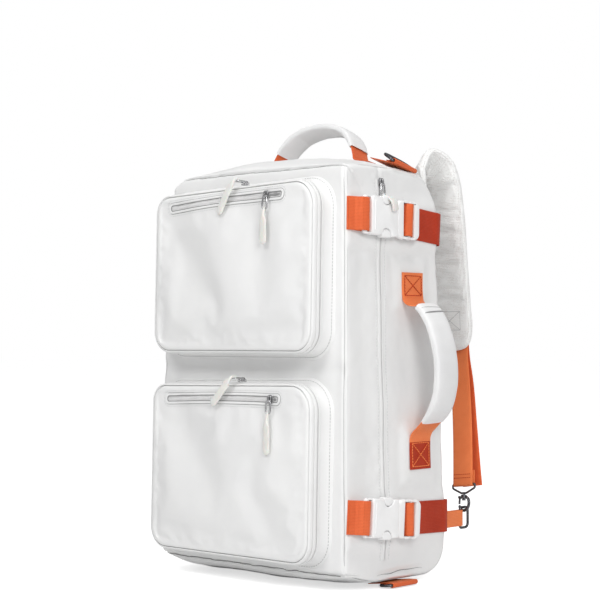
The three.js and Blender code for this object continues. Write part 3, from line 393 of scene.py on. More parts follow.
def makePiece(name, shape, finish, stands=(), sharp=40):
    mesh = bpy.data.meshes.new("dressed_" + name)
    points = (shape["points"] + (0, 0, body["sag"])) * mm
    mesh.from_pydata(points.tolist(), [], shape["faces"])
    corners = np.zeros(len(mesh.loops), int)
    mesh.loops.foreach_get("vertex_index", corners)
    uv = shape["uv"][corners].astype(np.float32)
    mesh.uv_layers.new(name="alongAcross").data.foreach_set("uv", uv.ravel())
    work = bmesh.new()
    work.from_mesh(mesh)
    bmesh.ops.remove_doubles(work, verts=work.verts, dist=0.01 * mm)
    bmesh.ops.recalc_face_normals(work, faces=work.faces)
    work.to_mesh(mesh)
    work.free()
    mesh.shade_smooth()
    mesh.set_sharp_from_angle(angle=math.radians(sharp))
    mesh.materials.append(finishes[finish])
    piece = bpy.data.objects.new("dressed_" + name, mesh)
    scene.collection.objects.link(piece)
    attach(piece, nodeBody[stands[0]] if stands else "root")
    if stands:
        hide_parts(*stands)
    return piece


def dressNode(name, shape, finish, sharp=40):  # a piece that stands for the CAD node of its name
    return makePiece(name, shape, finish, (name,), sharp)


def through(points, count):  # a smooth run through a few points, in even steps
    points = np.asarray(points, float)
    along = lengthsAlong(points)
    slope = np.gradient(points, along, axis=0)
    at = np.linspace(0, along[-1], count)
    i = np.clip(np.searchsorted(along, at, side="right") - 1, 0, len(points) - 2)
    span = (along[i + 1] - along[i])[:, None]
    t = (at - along[i])[:, None] / span
    near = (2 * t**3 - 3 * t**2 + 1) * points[i] + (t**3 - 2 * t**2 + t) * span * slope[i]
    return near + (3 * t**2 - 2 * t**3) * points[i + 1] + (t**3 - t**2) * span * slope[i + 1]


def evenly(path, step, closed=False):  # the same line in straight steps of one length
    path = np.asarray(path, float)
    if closed:
        path = np.concatenate([path, path[:1]])
    along = lengthsAlong(path)
    count = max(int(round(along[-1] / step)), 2)
    at = np.linspace(0, along[-1], count + 1)
    run = stacked(*[np.interp(at, along, column) for column in path.T])
    return run[:-1] if closed else run


def evened(path, turns, closed=False):  # takes the jitter out of a line
    for _ in range(turns):
        near, far = np.roll(path, 1, 0), np.roll(path, -1, 0)
        if not closed:
            near[0], far[-1] = path[0], path[-1]
        path = (near + path + far) / 3
    return path


def framesOf(path, across, closed=False):
    step = np.roll(path, -1, 0) - np.roll(path, 1, 0) if closed else np.gradient(path, axis=0)
    ahead = unit(step)
    across = np.broadcast_to(np.asarray(across, float), path.shape)
    side = unit(across - ahead * (across * ahead).sum(1, keepdims=True))
    return ahead, side, np.cross(ahead, side)


def sweep(path, across, sections, closed=False):  # carries a section along a path
    path = np.asarray(path, float)
    side, up = framesOf(path, across, closed)[1:]
    sections = np.asarray(sections, float)
    sections = np.broadcast_to(sections, (len(path), *sections.shape[-2:]))
    grid = path[:, None] + sections[..., :1] * side[:, None] + sections[..., 1:] * up[:, None]
    uv = stacked(lengthsAlong(path)[:, None], sections[..., 0])
    return beltOf(grid, closed, True, uv)


def flatSection(width, thickness, steps=7):
    h = thickness / 2
    w = width / 2 - h
    corner = np.radians([45, 0, -45])
    right = stacked(w + h * np.cos(corner), h * np.sin(corner))
    top = stacked(np.linspace(-w, w, steps), h)
    return np.concatenate([top, right, -top, -right])


def roundSection(radius, sides):
    angle = 2 * np.pi * np.arange(sides) / sides
    return radius * stacked(np.cos(angle), np.sin(angle))


def softSection(halfWidth, halfThick, squareness, sides):
    angle = 2 * np.pi * (np.arange(sides) + 0.5) / sides
    circle = stacked(np.cos(angle), np.sin(angle))
    return np.sign(circle) * np.abs(circle) ** squareness * (halfWidth, halfThick)


def tube(path, radius, across, sides, closed=False):
    return sweep(path, across, roundSection(radius, sides), closed)


def band(path, across, width, thickness):
    return sweep(path, across, flatSection(width, thickness))


def roundedOutline(corners, sideSteps, arcSteps):  # corners are u, v and radius
    places = [np.array(corner[:2], float) for corner in corners]
    arcs = []
    for i, (place, corner) in enumerate(zip(places, corners)):
        back = unit(places[i - 1] - place)
        ahead = unit(places[(i + 1) % len(places)] - place)
        half = math.acos(np.clip(back @ ahead, -1, 1)) / 2
        centre = place + unit(back + ahead) * corner[2] / math.sin(half)
        reach = corner[2] / math.tan(half)
        start, stop = place + back * reach - centre, place + ahead * reach - centre
        bend = math.atan2(start[0] * stop[1] - start[1] * stop[0], start @ stop)
        angle = bend * np.linspace(0, 1, arcSteps + 1)
        c, s = np.cos(angle), np.sin(angle)
        arcs.append(centre + stacked(start[0] * c - start[1] * s, start[0] * s + start[1] * c))
    run = []
    for i, arc in enumerate(arcs):
        share = np.linspace(0, 1, sideSteps[i] + 2)[1:-1, None]
        run += [arc, arc[-1] + share * (arcs[(i + 1) % len(arcs)][0] - arc[-1])]
    return np.concatenate(run)


def roundedRectangle(width, height, radius, sideSteps=0, arcSteps=8):
    w, h = width / 2, height / 2
    corners = [(-w, -h, radius), (w, -h, radius), (w, h, radius), (-w, h, radius)]
    return roundedOutline(corners, [sideSteps] * 4, arcSteps)


def fourSided(loop, across, up):  # fills a closed run of four sides, across and up steps long, with a grid
    bottom, right = loop[: across + 1], loop[across : across + up + 1]
    top = loop[across + up : 2 * across + up + 1][::-1]
    left = np.concatenate([loop[2 * across + up :], loop[:1]])[::-1]
    s, t = np.linspace(0, 1, across + 1)[None, :, None], np.linspace(0, 1, up + 1)[:, None, None]
    sides = (1 - t) * bottom[None] + t * top[None] + (1 - s) * left[:, None] + s * right[:, None]
    ends = (1 - t) * ((1 - s) * bottom[0] + s * bottom[-1]) + t * ((1 - s) * top[0] + s * top[-1])
    return sides - ends


def softPlate(outlines, thickness, bevel):  # a plate with round edges, in its own XY plane
    data = bpy.data.curves.new("plate", "CURVE")
    data.dimensions = "2D"
    data.fill_mode = "BOTH"
    data.extrude = thickness / 2 - bevel
    data.bevel_depth = bevel
    data.offset = -bevel
    data.bevel_resolution = 3
    for i, outline in enumerate(outlines):
        run = outline if i == 0 else outline[::-1]
        spline = data.splines.new("POLY")
        spline.points.add(len(run) - 1)
        spline.points.foreach_set("co", np.c_[run, np.zeros(len(run)), np.ones(len(run))].ravel())
        spline.use_cyclic_u = True
    holder = bpy.data.objects.new("plate", data)
    scene.collection.objects.link(holder)
    mesh = bpy.data.meshes.new_from_object(holder.evaluated_get(bpy.context.evaluated_depsgraph_get()))
    shape = shapeOf([v.co[:] for v in mesh.vertices], [tuple(p.vertices) for p in mesh.polygons])
    bpy.data.objects.remove(holder)
    bpy.data.curves.remove(data)
    bpy.data.meshes.remove(mesh)
    return shape


clothSettings = dict(
    quality=6, mass=0.2, tension_stiffness=30, compression_stiffness=30, shear_stiffness=12, air_damping=3,
    vertex_group_mass="hold", use_pressure=True,
)


def settled(shape, hold, push, spread, stiff, frames, cap):  # lets a shape swell and crease as cloth
    mesh = bpy.data.meshes.new("settling")
    mesh.from_pydata((shape["points"] * mm).tolist(), [], shape["faces"])
    obj = bpy.data.objects.new("settling", mesh)
    scene.collection.objects.link(obj)
    pins = obj.vertex_groups.new(name="hold")
    for i, weight in enumerate(np.ravel(hold)):
        pins.add([i], float(weight), "REPLACE")
    cloth = obj.modifiers.new("settle", "CLOTH")
    for key, value in clothSettings.items():
        setattr(cloth.settings, key, value)
    cloth.settings.bending_stiffness = stiff
    cloth.settings.shrink_min = -spread
    cloth.settings.uniform_pressure_force = push
    cloth.settings.effector_weights.gravity = 0
    cloth.point_cache.frame_end = frames
    for f in range(1, frames + 1):
        scene.frame_set(f)
    solved = obj.evaluated_get(bpy.context.evaluated_depsgraph_get()).data
    points = np.zeros(3 * len(solved.vertices))
    solved.vertices.foreach_get("co", points)
    moved = points.reshape(-1, 3) / mm - shape["points"]
    far = np.linalg.norm(moved, axis=1, keepdims=True)
    bpy.data.objects.remove(obj)
    bpy.data.meshes.remove(mesh)
    scene.frame_set(1)
    return dict(shape, points=shape["points"] + moved * np.minimum(1, cap / np.maximum(far, 1e-9)))


# Rays from outside the bag, to find places on its cloth

outside = dict(above=900, right=400, front=-200)
downward, leftward, forward = (0, 0, -1), (-1, 0, 0), (0, -1.0, 0)  # the front looks along -Y


def treeOf(shape):
    return BVHTree.FromPolygons(shape["points"].tolist(), shape["faces"])


def cast(tree, points, way):  # where rays meet a surface, and its normals there
    hits = [tree.ray_cast(Vector(point), Vector(way))[:2] for point in points]
    return np.array([hit[0] for hit in hits]), np.array([hit[1] for hit in hits])


# Body: one lofted shell of cloth, with sewn grooves, sag and folds

sideFolds = [  # of the right side, u to the back and v up
    dict(u=10, v=9, angle=1, length=52, width=4.2, depth=-4.4),
    dict(u=30, v=30, angle=6, length=60, width=9, depth=-2.2),
    dict(u=70, v=60, angle=30, length=50, width=14, depth=-2.4),
    dict(u=35, v=300, angle=88, length=190, width=30, depth=-2.6),
    dict(u=-62, v=300, angle=92, length=200, width=17, depth=-1.8),
    dict(u=70, v=420, angle=80, length=70, width=20, depth=-1.6),
    dict(u=-60, v=445, angle=10, length=40, width=9, depth=-1.4),
    dict(u=-65, v=40, angle=-8, length=34, width=9, depth=-1.6),
    dict(u=30, v=460, angle=6, length=60, width=10, depth=-1.8),
]
frontFolds = [  # of the front panel, u to the right and v up
    dict(u=-60, v=288, angle=84, length=30, width=16, depth=-1.8),
    dict(u=35, v=286, angle=96, length=34, width=20, depth=-2.2),
    dict(u=110, v=287, angle=80, length=30, width=14, depth=-1.5),
    dict(u=160, v=300, angle=88, length=200, width=8, depth=-1.2),
]
bodySteps = dict(front=120, top=48, arc=12, middle=60)


def between(low, high, z):
    return body[low] + (body[high] - body[low]) * z / body["height"]


def halfWidthAt(z):
    return between("halfLow", "halfHigh", z)


def frontAt(z):
    return between("frontLow", "frontHigh", z)


def backAt(z):
    return between("backLow", "backHigh", z)


def leftSwellAt(z):
    return body["leftSwell"] * np.sin(np.pi * np.clip(z / body["height"], 0, 1))


def liftAt(share):
    right = max(share - body["flatRight"], 0) / (1 - body["flatRight"])
    left = max(-share - body["flatLeft"], 0) / (1 - body["flatLeft"])
    return body["lift"] * (right**2 + left**2)


def hangAt(y):
    return smooth(y, body["frontLow"], 0.68 * body["frontLow"] + 0.32 * body["backLow"])


def profile(share, inset, sideSteps, arcSteps):  # the outline of one slice, from the front's lower edge on
    level = liftAt(share) - body["sag"] + inset
    frontTop, backTop = frontAt(body["height"]) + inset, backAt(body["height"]) - inset
    top = body["height"] - inset
    arcs = {key: max(body[key] - inset, 1.5) for key in body if key.endswith("Arc")}
    corners = [
        (frontAt(0) + inset, level, arcs["frontLowArc"]),
        (frontTop, top, arcs["frontHighArc"]),
        (backTop, top - body["topFall"], arcs["backHighArc"]),
        (backAt(0) - inset, level, arcs["backLowArc"]),
    ]
    y, z = roundedOutline(corners, sideSteps, arcSteps).T
    t = np.clip((y - frontTop) / (backTop - frontTop), 0, 1)
    crown = body["crown"] + (body["sideCrown"] - body["crown"]) * abs(share) ** 2.2
    fall = body["leftFall"] * max(-share, 0) ** 24 * smooth(z, 470, 560)
    rise = crown * (4 * t * (1 - t)) ** 0.65 - fall
    hang = body["sag"] * (1 - hangAt(y)) * (1 - smooth(z, 20, 220))
    return stacked(y, np.where(z < body["height"] / 2, z + hang, z + rise))


def highestAt(x, y):  # of the plain form, as its solids have it
    run = profile(x / (halfWidthAt(body["height"]) - body["edge"]), 0, (1, 5, 1, 4), 3)
    heights = []
    for a, b in zip(run, np.roll(run, -1, 0)):
        if min(a[0], b[0]) <= y <= max(a[0], b[0]) and a[0] != b[0]:
            heights.append(a[1] + (b[1] - a[1]) * (y - a[0]) / (b[0] - a[0]))
    return max(heights)


def lowestAt(x, y):
    return liftAt(min(x / (body["halfLow"] - body["edge"]), 1)) - body["sag"] * hangAt(y)


seams = dict(  # heights, the grooves' size and depths, the puckers beside them, and the lines of painted shade in them
    frontLow=12, backLow=62, backHigh=500, turn=math.radians(60), wander=1.2, width=1.4,
    edgeDeep=1.2, topDeep=2.6, lowDeep=2.2, backDeep=1.2, puckerAt=4.5, puckerWidth=4,
    lineFrom=-167, lineTo=165, line=0.75, paleLine=0.42,
)
sideZip = dict(y=-25, low=24, high=544, slider=536.5, bed=2.0, bedWidth=3.2, puckerAt=11, puckerWidth=6)
slack = dict(broad=1.7, broadSize=85, fine=0.6, fineSize=34, fineDrop=0.4, top=1.2, topSize=60, inward=0.3)
calmSpots = [  # where something is sewn on or pulled tight: middle and half size
    dict(side="right", u=40, v=400, half=(30, 30)),
    dict(side="right", u=50, v=165, half=(30, 34)),
    dict(side="right", u=0, v=484, half=(120, 30)),
    dict(side="right", u=0, v=80, half=(120, 26)),
    dict(side="front", u=-9, v=421, half=(180, 126)),
    dict(side="front", u=-9, v=145, half=(180, 126)),
    dict(side="top", u=98, v=36, half=(24, 28)),
    dict(side="top", u=-92, v=36, half=(24, 28)),
    dict(side="top", u=144, v=36, half=(30, 36)),
    dict(side="top", u=0, v=78, half=(62, 32)),
    dict(side="back", u=92, v=482, half=(40, 26)),
    dict(side="back", u=-92, v=482, half=(40, 26)),
]


def calmAt(points, normals):
    x, y, z = points.T
    sides = {"right": (y, z, normals[:, 0]), "top": (x, y, normals[:, 2]), "back": (x, z, normals[:, 1]),
             "front": (x, z, -normals[:, 1])}
    calm = np.zeros(len(points))
    for spot in calmSpots:
        u, v, facing = sides[spot["side"]]
        off = np.maximum(np.abs(u - spot["u"]) - spot["half"][0], np.abs(v - spot["v"]) - spot["half"][1])
        calm = np.maximum(calm, (1 - smooth(off, -4, 14)) * (facing > 0.5))
    return calm


def wanderAt(x, z):  # how a sewn seam strays from its straight line
    return cloudy(stacked(x, 0, z), 16, 3.0)


def bodyRelief(points, normals):
    x, y, z = points.T
    right, front, top = normals[:, 0], -normals[:, 1], normals[:, 2]
    reach = halfWidthAt(z) + np.where(x < 0, leftSwellAt(z), 0)
    stray = seams["wander"] * wanderAt(x, z)
    puckers = cloudy(points, 11, 7.0)
    elsewhere = 40  # keeps a seam to its own side of the bag
    edgeSeam = np.abs(np.abs(x) - (reach - body["seamIn"]))
    topSeam = np.abs((y - frontAt(body["height"]) + z - body["height"]) / math.sqrt(2) - stray)
    topSeam += elsewhere * ((y > -60) | (z < 480))
    lowSeam = np.abs(z - seams["frontLow"] - stray) + elsewhere * (y > -80)
    backLow = np.abs(z - seams["backLow"]) + elsewhere * (y < 60)
    backHigh = np.abs(z - seams["backHigh"]) + elsewhere * (y < 60)
    free = 1 - calmAt(points, normals)
    moved = np.zeros(len(points))
    for seam, deep in ((edgeSeam, "edgeDeep"), (topSeam, "topDeep"), (lowSeam, "lowDeep"),
                       (backLow, "backDeep"), (backHigh, "backDeep")):
        moved -= seams[deep] * bell(seam, seams["width"])
        moved += (0.5 + 0.9 * puckers) * bell(seam - seams["puckerAt"], seams["puckerWidth"]) * 0.5
    zipAway = np.abs(y - sideZip["y"])
    inZip = (right > 0.7) * smooth(z, sideZip["low"] - 6, sideZip["low"] + 4)
    moved -= inZip * sideZip["bed"] * bell(zipAway, sideZip["bedWidth"])
    moved += inZip * 0.7 * puckers * bell(zipAway - sideZip["puckerAt"], sideZip["puckerWidth"])
    onSide = smooth(right, 0.6, 0.95) * free
    moved += onSide * sum(softFold(y, z, fold) for fold in sideFolds)
    creases = cloudy(points * (1, 0.3, 1), 9, 4.0)  # small ones between the front seam and the zip
    moved += onSide * 0.55 * creases * bell(y + 66, 34)
    moved += smooth(front, 0.6, 0.95) * sum(softFold(x, z, fold) for fold in frontFolds)
    broad = slack["broad"] * cloudy(points, slack["broadSize"], 1.0) - slack["broad"]
    moved += free * (broad + slack["fine"] * cloudy(points, slack["fineSize"], 5.0) - slack["fineDrop"])
    moved -= free * smooth(top, 0.6, 0.95) * slack["top"] * (1 - cloudy(points, slack["topSize"], 9.0))
    return moved - slack["inward"]


def bodyRing(share, angle):  # one ring of the shell, the angle of its rounded edge in from the side panel
    edge = body["edge"]
    sideIn, inset = edge * (1 - math.cos(angle)), edge * (1 - math.sin(angle))
    y, z = profile(share, inset, (bodySteps["front"], bodySteps["top"]) * 2, bodySteps["arc"]).T
    reach = halfWidthAt(z) + (leftSwellAt(z) if share < 0 else 0)
    return stacked(share * (reach - sideIn), y, z)


def makeBody():
    arc = bodySteps["arc"]
    angles = np.radians([0, 12, 24, 36, 46, 54, 58, 60, 62, 66, 74, 82, 90])
    left, right = ([bodyRing(end, angle) for angle in angles] for end in (-1, 1))
    middle = [bodyRing(share, quarter) for share in np.linspace(-1, 1, bodySteps["middle"] + 1)[1:-1]]
    belt = np.array([*left, *middle, *right[::-1]])
    shapes = [beltOf(belt)]
    for end in (0, -1):
        loop = np.roll(belt[end], -arc // 2, 0)
        grid = fourSided(loop, bodySteps["front"] + arc + 1, bodySteps["top"] + arc + 1)
        x = halfWidthAt(grid[..., 2]) + (leftSwellAt(grid[..., 2]) if end == 0 else 0)
        grid[..., 0] = -x if end == 0 else x
        shapes.append(sheetOf(grid))
    shape = joined(shapes)
    work = bmesh.new()
    corners = [work.verts.new(p) for p in shape["points"]]
    for face in shape["faces"]:
        work.faces.new([corners[i] for i in face])
    bmesh.ops.remove_doubles(work, verts=work.verts, dist=0.01)
    bmesh.ops.recalc_face_normals(work, faces=work.faces)
    work.normal_update()
    points = np.array([v.co for v in work.verts])
    normals = np.array([v.normal for v in work.verts])
    points += normals * bodyRelief(points, normals)[:, None]
    points[:, 2] = np.maximum(points[:, 2], -body["sag"])
    work.verts.index_update()
    faces = [tuple(v.index for v in f.verts) for f in work.faces]
    work.free()
    return shapeOf(points, faces)


port = dict(width=84, depth=34, radius=8, y=78, binding=7, cut=2, above=480)


def inPort(spots):  # which spots lie in the slot of the top panel
    w, d, r = (size + port["cut"] for size in (port["width"] / 2, port["depth"] / 2, port["radius"]))
    u = np.maximum(np.abs(spots[:, 0]) - (w - r), 0)
    v = np.maximum(np.abs(spots[:, 1] - port["y"]) - (d - r), 0)
    return (np.hypot(u, v) < r) & (spots[:, 2] > port["above"])


bodyCloth = makeBody()
bodyTree = treeOf(bodyCloth)
centres = np.array([bodyCloth["points"][list(face)].mean(0) for face in bodyCloth["faces"]])
openFaces = [face for face, out in zip(bodyCloth["faces"], inPort(centres)) if not out]
shell = makePiece(
    "body_shell", dict(bodyCloth, faces=openFaces), "coated",
    ("front_panel", "top_panel", "back_panel", "bottom_panel", "side_panel_right", "side_panel_left"),
    sharp=60,
)
wall = shell.modifiers.new("wall", "SOLIDIFY")
wall.thickness = body["wall"] * mm
wall.offset = -1
print("body shell made", len(openFaces))


def onBody(points, lift):  # nearest places on the shell and the ways out of it there
    hits = [bodyTree.find_nearest(Vector(point))[:2] for point in points]
    ways = np.array([hit[1] for hit in hits])
    return np.array([hit[0] for hit in hits]) + ways * lift, ways


def onTop(x, y):
    return cast(bodyTree, [(x, y, outside["above"])], downward)[0][0, 2]


# Stitches and seams

thread = dict(length=3.0, space=1.5, radius=0.34, lift=0.1)
creaseShadeLine = dict(start=-40, stop=56, height=8.6)  # where a line of painted shade runs, in the crease over the bottom ring


def stitches(path, ways, closed=False, length=thread["length"], radius=thread["radius"]):
    both = np.concatenate([path, np.broadcast_to(ways, path.shape)], 1)
    run = evenly(both, (length + thread["space"]) / 3, closed)
    spots, ups = run[:, :3], unit(run[:, 3:])
    shapes = []
    for i in range(0, len(spots) - 2, 3):  # short threads that dip at both ends
        a, b, up = spots[i], spots[i + 2], ups[i + 1]
        low, high = up * radius, up * radius * 0.8
        line = np.array([a - low, a + (b - a) * 0.25 + high, a + (b - a) * 0.75 + high, b - low])
        shapes.append(tube(line, radius, np.cross(b - a, up), 5))
    return joined(shapes)


def seamLine(path, ways, radius, closed=False):  # a thin line of painted shade, where two cloths meet or in a crease, groove or slit
    sections = roundSection(1, 6)[None] * np.broadcast_to(radius, len(path))[:, None, None]
    return sweep(path, np.cross(framesOf(path, ways, closed)[0], ways), sections, closed)


def makeSeamLines():
    # the top seam, the low seam and the crease get lines of dark painted shade
    x = np.linspace(seams["lineFrom"], seams["lineTo"], 160)
    height = float(body["height"])
    shift = wanderAt(x, height) * 0.85
    way = unit(np.array([0, 1.0, -1.0]))
    corner = stacked(x, frontAt(height) + shift, height + shift)
    lines = [seamLine(*cast(bodyTree, corner - way * 40, way), seams["line"])]
    low = seams["frontLow"] + seams["wander"] * wanderAt(x, seams["frontLow"])
    lines.append(seamLine(*cast(bodyTree, stacked(x, outside["front"], low), yAxis), seams["line"]))
    y = np.linspace(creaseShadeLine["start"], creaseShadeLine["stop"], 60)
    wavy = stacked(outside["right"], y, creaseShadeLine["height"] + 1.2 * np.sin(y / 17) + 0.6 * np.sin(y / 6.1))
    fade = 0.1 + 0.6 * np.sin(np.linspace(0, np.pi, len(y)))
    lines.append(seamLine(*cast(bodyTree, wavy, leftward), fade))
    # the side seams get lines of pale painted shade
    pale = []
    for end in (-1, 1):
        spots, ways = onBody(evenly(bodyRing(end, seams["turn"]), 5, True), thread["lift"])
        pale.append(seamLine(evened(spots, 10, True), evened(ways, 10, True), seams["paleLine"], True))
    makePiece("seam_lines", joined(lines), "seamShade")
    makePiece("side_seam_lines", joined(pale), "seamPale")


makeSeamLines()
print("seams made")

# Zips: cloth lips, tape between them and a coil of small teeth

zipSize = dict(lip=4.4, lipThick=1.3, slot=2.6, tape=0.5, tooth=1.7, toothLong=3.4, toothWire=0.5)


def zipShapes(path, ways, closed=False, lips=True):
    path = np.asarray(path, float)
    ahead, out = framesOf(path, ways, closed)[:2]
    across = np.cross(out, ahead)
    flat = flatSection(2 * zipSize["lip"], zipSize["tape"])
    shapes = {"tape": sweep(path + out * zipSize["tape"] / 2, across, flat, closed)}
    middle = evenly(np.concatenate([path, out, across], 1), zipSize["tooth"], closed)
    teeth = []
    for spot, up, side in zip(middle[:, :3], unit(middle[:, 3:6]), unit(middle[:, 6:])):
        line = np.array([-0.5, -0.3, 0.3, 0.5])[:, None] * zipSize["toothLong"] * side + spot + up * 0.45
        line[[0, 3]] -= up * 0.4
        teeth.append(tube(line, zipSize["toothWire"], np.cross(side, up), 6))
    shapes["teeth"] = joined(teeth)
    if lips:
        away, lift = (zipSize["slot"] + zipSize["lip"]) / 2, zipSize["lipThick"] / 2 + 0.3
        flat = flatSection(zipSize["lip"], zipSize["lipThick"])
        shapes["lips"] = joined([
            sweep(path + across * end * away + out * lift, unit(across - out * 0.1 * end), flat, closed)
            for end in (-1, 1)
        ])
    return shapes


def makeZip(name, shapes, node, place=Matrix.Identity(4)):
    makePiece(name + "_tape", placed(shapes["tape"], place), "tape", (node,))
    makePiece(name + "_teeth", placed(shapes["teeth"], place), "teeth")
    if "lips" in shapes:
        makePiece(name + "_lips", placed(shapes["lips"], place), "coated")


# Sliders hang in the XZ plane with the tape behind them, at +Y

slider = dict(width=8.4, length=13, thick=3.4, ring=19, ringWidth=11, ringOut=5.1, wire=1.2)


def sliderShape():
    outline = roundedRectangle(slider["width"], slider["length"], 3)
    outline[:, 0] *= 0.8 + 0.2 * smooth(outline[:, 1], -slider["length"] / 2, 2)
    shapes = []
    for share, thick, bevel, y, z in ((1, 1.5, 0.5, -0.85, 0), (0.92, 1.4, 0.5, -slider["thick"], 0),
                                      (0.5, slider["thick"], 0.4, -2, 1)):  # base, top and core
        part = softPlate([outline * share], thick, bevel)
        shapes.append(placed(part, shifted(0, y, z) @ turned(quarter, "X")))
    arch = through([(0, -3.4, 5), (0, -5.6, 3.6), (0, -6.2, 0), (0, -5.4, -3.6), (0, -3.4, -4.6)], 14)
    shapes.append(sweep(arch, xAxis, flatSection(2.6, 1.1, 4)))
    loop = roundedRectangle(slider["ringWidth"] - 2, slider["ring"] - 2, 3.4, 2, 8)
    loop[:, 0] *= 0.78 + 0.22 * smooth(-loop[:, 1], -6, 6)
    ring = stacked(loop[:, 0], -slider["ringOut"], loop[:, 1] - slider["ring"] / 2 - 0.5)
    return joined([*shapes, tube(ring, slider["wire"], yAxis, 10, True)])


pull = dict(neck=1.9, width=12, thick=3.4, neckShare=0.3)


def pullShape(points):  # a soft moulded tab: a thin neck from the slider's ring, then a flat tongue
    path = through(points, 34)
    t = np.linspace(0, 1, len(path))
    flare = smooth(t, pull["neckShare"] - 0.1, pull["neckShare"] + 0.06)
    tip = np.sqrt(np.clip(1 - ((t - 0.9) / 0.1).clip(0) ** 2, 0.02, 1))
    wide = pull["neck"] + (pull["width"] / 2 - pull["neck"]) * flare * (0.86 + 0.14 * t)
    high = pull["neck"] + (pull["thick"] / 2 - pull["neck"]) * flare
    sections = np.stack([softSection(w, h, 0.75, 16) for w, h in zip(wide * tip, high * tip)])
    return sweep(path, xAxis, sections)


def hangingPull(length):
    end = -19 - length
    return [(0, -5.1, -17), (0, -6.2, -20), (0, -7.2, -24), (0, -7.6, -19 - 0.6 * length), (0, -7.4, end)]


slide = sliderShape()
sideLean = math.atan((body["halfHigh"] - body["halfLow"]) / body["height"])
sidePlace = shifted(body["halfLow"], 0, 0) @ turned(sideLean, "Y")
frontLean = math.atan((body["frontHigh"] - body["frontLow"]) / body["height"])
frontPlace = shifted(0, body["frontLow"], 0) @ turned(-frontLean, "X")


def makeSideZip():
    z = np.linspace(sideZip["low"] + 3, sideZip["high"] - 3, 160)
    front, back = (
        cast(bodyTree, stacked(outside["right"], sideZip["y"] + off, z), leftward)[0][:, 0]
        for off in (-9, 9)
    )
    path = stacked(evened((front + back) / 2, 12) - 0.9, sideZip["y"], z)
    makeZip("side_zip", zipShapes(path, xAxis), "side_zip_tape")
    facing = sidePlace @ shifted(0, sideZip["y"], sideZip["slider"]) @ turned(quarter, "Z")
    dressNode("side_zip_slider", placed(slide, facing), "nickel")
    run = [(0, -5.1, -17), (1, -8, -19), (4, -15, -22), (7.5, -19, -29), (10, -19.2, -40)]
    dressNode("side_zip_pull", placed(pullShape(run), facing), "rubber")
    rows = [stitches(*onBody(path + (2, away, 0), thread["lift"])) for away in (-9.5, 9.5)]
    makePiece("side_zip_stitches", joined(rows), "whiteThread")


makeSideZip()
print("side zip made")

# Front pockets

pocket = dict(centre=-9, half=156, out=36, crown=6, highRight=38, highLeft=26, low=32, zipMiddle=22.5,
              weltFrom=-133, weltTo=92, weltHeight=12)
weltLong = pocket["weltTo"] - pocket["weltFrom"]
weltMiddle = (pocket["weltFrom"] + pocket["weltTo"]) / 2
pockets = [
    dict(name="upper", low=304, high=538, droop=8, welt=514.5, rise=8, weltSlider=66, weltPull=48,
         slider=5, drift=-26, drop=-41,
         folds=[
             dict(u=-88, v=432, angle=-58, length=95, width=34, depth=-6.5),
             dict(u=-10, v=420, angle=-72, length=95, width=36, depth=3.2),
             dict(u=62, v=420, angle=-80, length=90, width=26, depth=-3.4),
             dict(u=-20, v=330, angle=3, length=130, width=11, depth=-2.0),
             dict(u=112, v=450, angle=-70, length=50, width=14, depth=-1.6),
             dict(u=-140, v=400, angle=86, length=90, width=12, depth=-1.6),
         ]),
    dict(name="lower", low=25, high=265, droop=5, welt=240.5, rise=4, weltSlider=79, weltPull=55,
         slider=5, drift=-33, drop=-33,
         folds=[
             dict(u=-70, v=175, angle=-50, length=95, width=34, depth=-6.2),
             dict(u=0, v=150, angle=-62, length=95, width=34, depth=3.0),
             dict(u=40, v=120, angle=-52, length=70, width=24, depth=-3.6),
             dict(u=-20, v=52, angle=-3, length=130, width=10, depth=-1.8),
             dict(u=105, v=170, angle=-78, length=60, width=14, depth=-1.8),
             dict(u=-142, v=130, angle=88, length=90, width=12, depth=-1.6),
         ]),
]
pocketSteps = dict(across=66, up=48, arc=14)
pocketRings = [  # inset and height of the gusset's rings: foot, wall, the zip's bed, wall, the face's seam
    (-8, -2.6), (-7.6, -0.8), (-6.6, 0.6), (-5, 1.8), (-3.4, 3.6),
    (-2.2, 6), (-1.2, 9.5), (-0.4, 13), (0.2, 16),
    (0.8, 18.5), (1, 22.5), (0.8, 26.5),
    (0.2, 28.5), (0, 30.5), (0.1, 32.2), (0.6, 33.8), (1.5, 35), (2.4, 35.4),
    (3, 34.8), (3.4, 33.4), (3.8, 33.3), (4.3, 34.9), (5, 36), (6.2, 36.7), (8, 37.1), (10, 37.3),
]


def weltAt(row, x):
    return (x - weltMiddle) * (row["rise"] / weltLong)


def pocketRing(row, inset, out):
    left, right = pocket["centre"] - pocket["half"] + inset, pocket["centre"] + pocket["half"] - inset
    low, high = row["low"] + inset, row["high"] - inset
    arcs = {key: max(pocket[key] - inset, 4) for key in ("low", "highRight", "highLeft")}
    corners = [(left, low, arcs["low"]), (right, low, arcs["low"]), (right, high, arcs["highRight"]),
               (left, high, arcs["highLeft"])]
    x, z = roundedOutline(corners, (pocketSteps["across"], pocketSteps["up"]) * 2, pocketSteps["arc"]).T
    toLeft = (right - x) / (right - left)
    upward = (z - row["low"]) / (row["high"] - row["low"])
    return stacked(x, -out, z - row["droop"] * toLeft * upward)


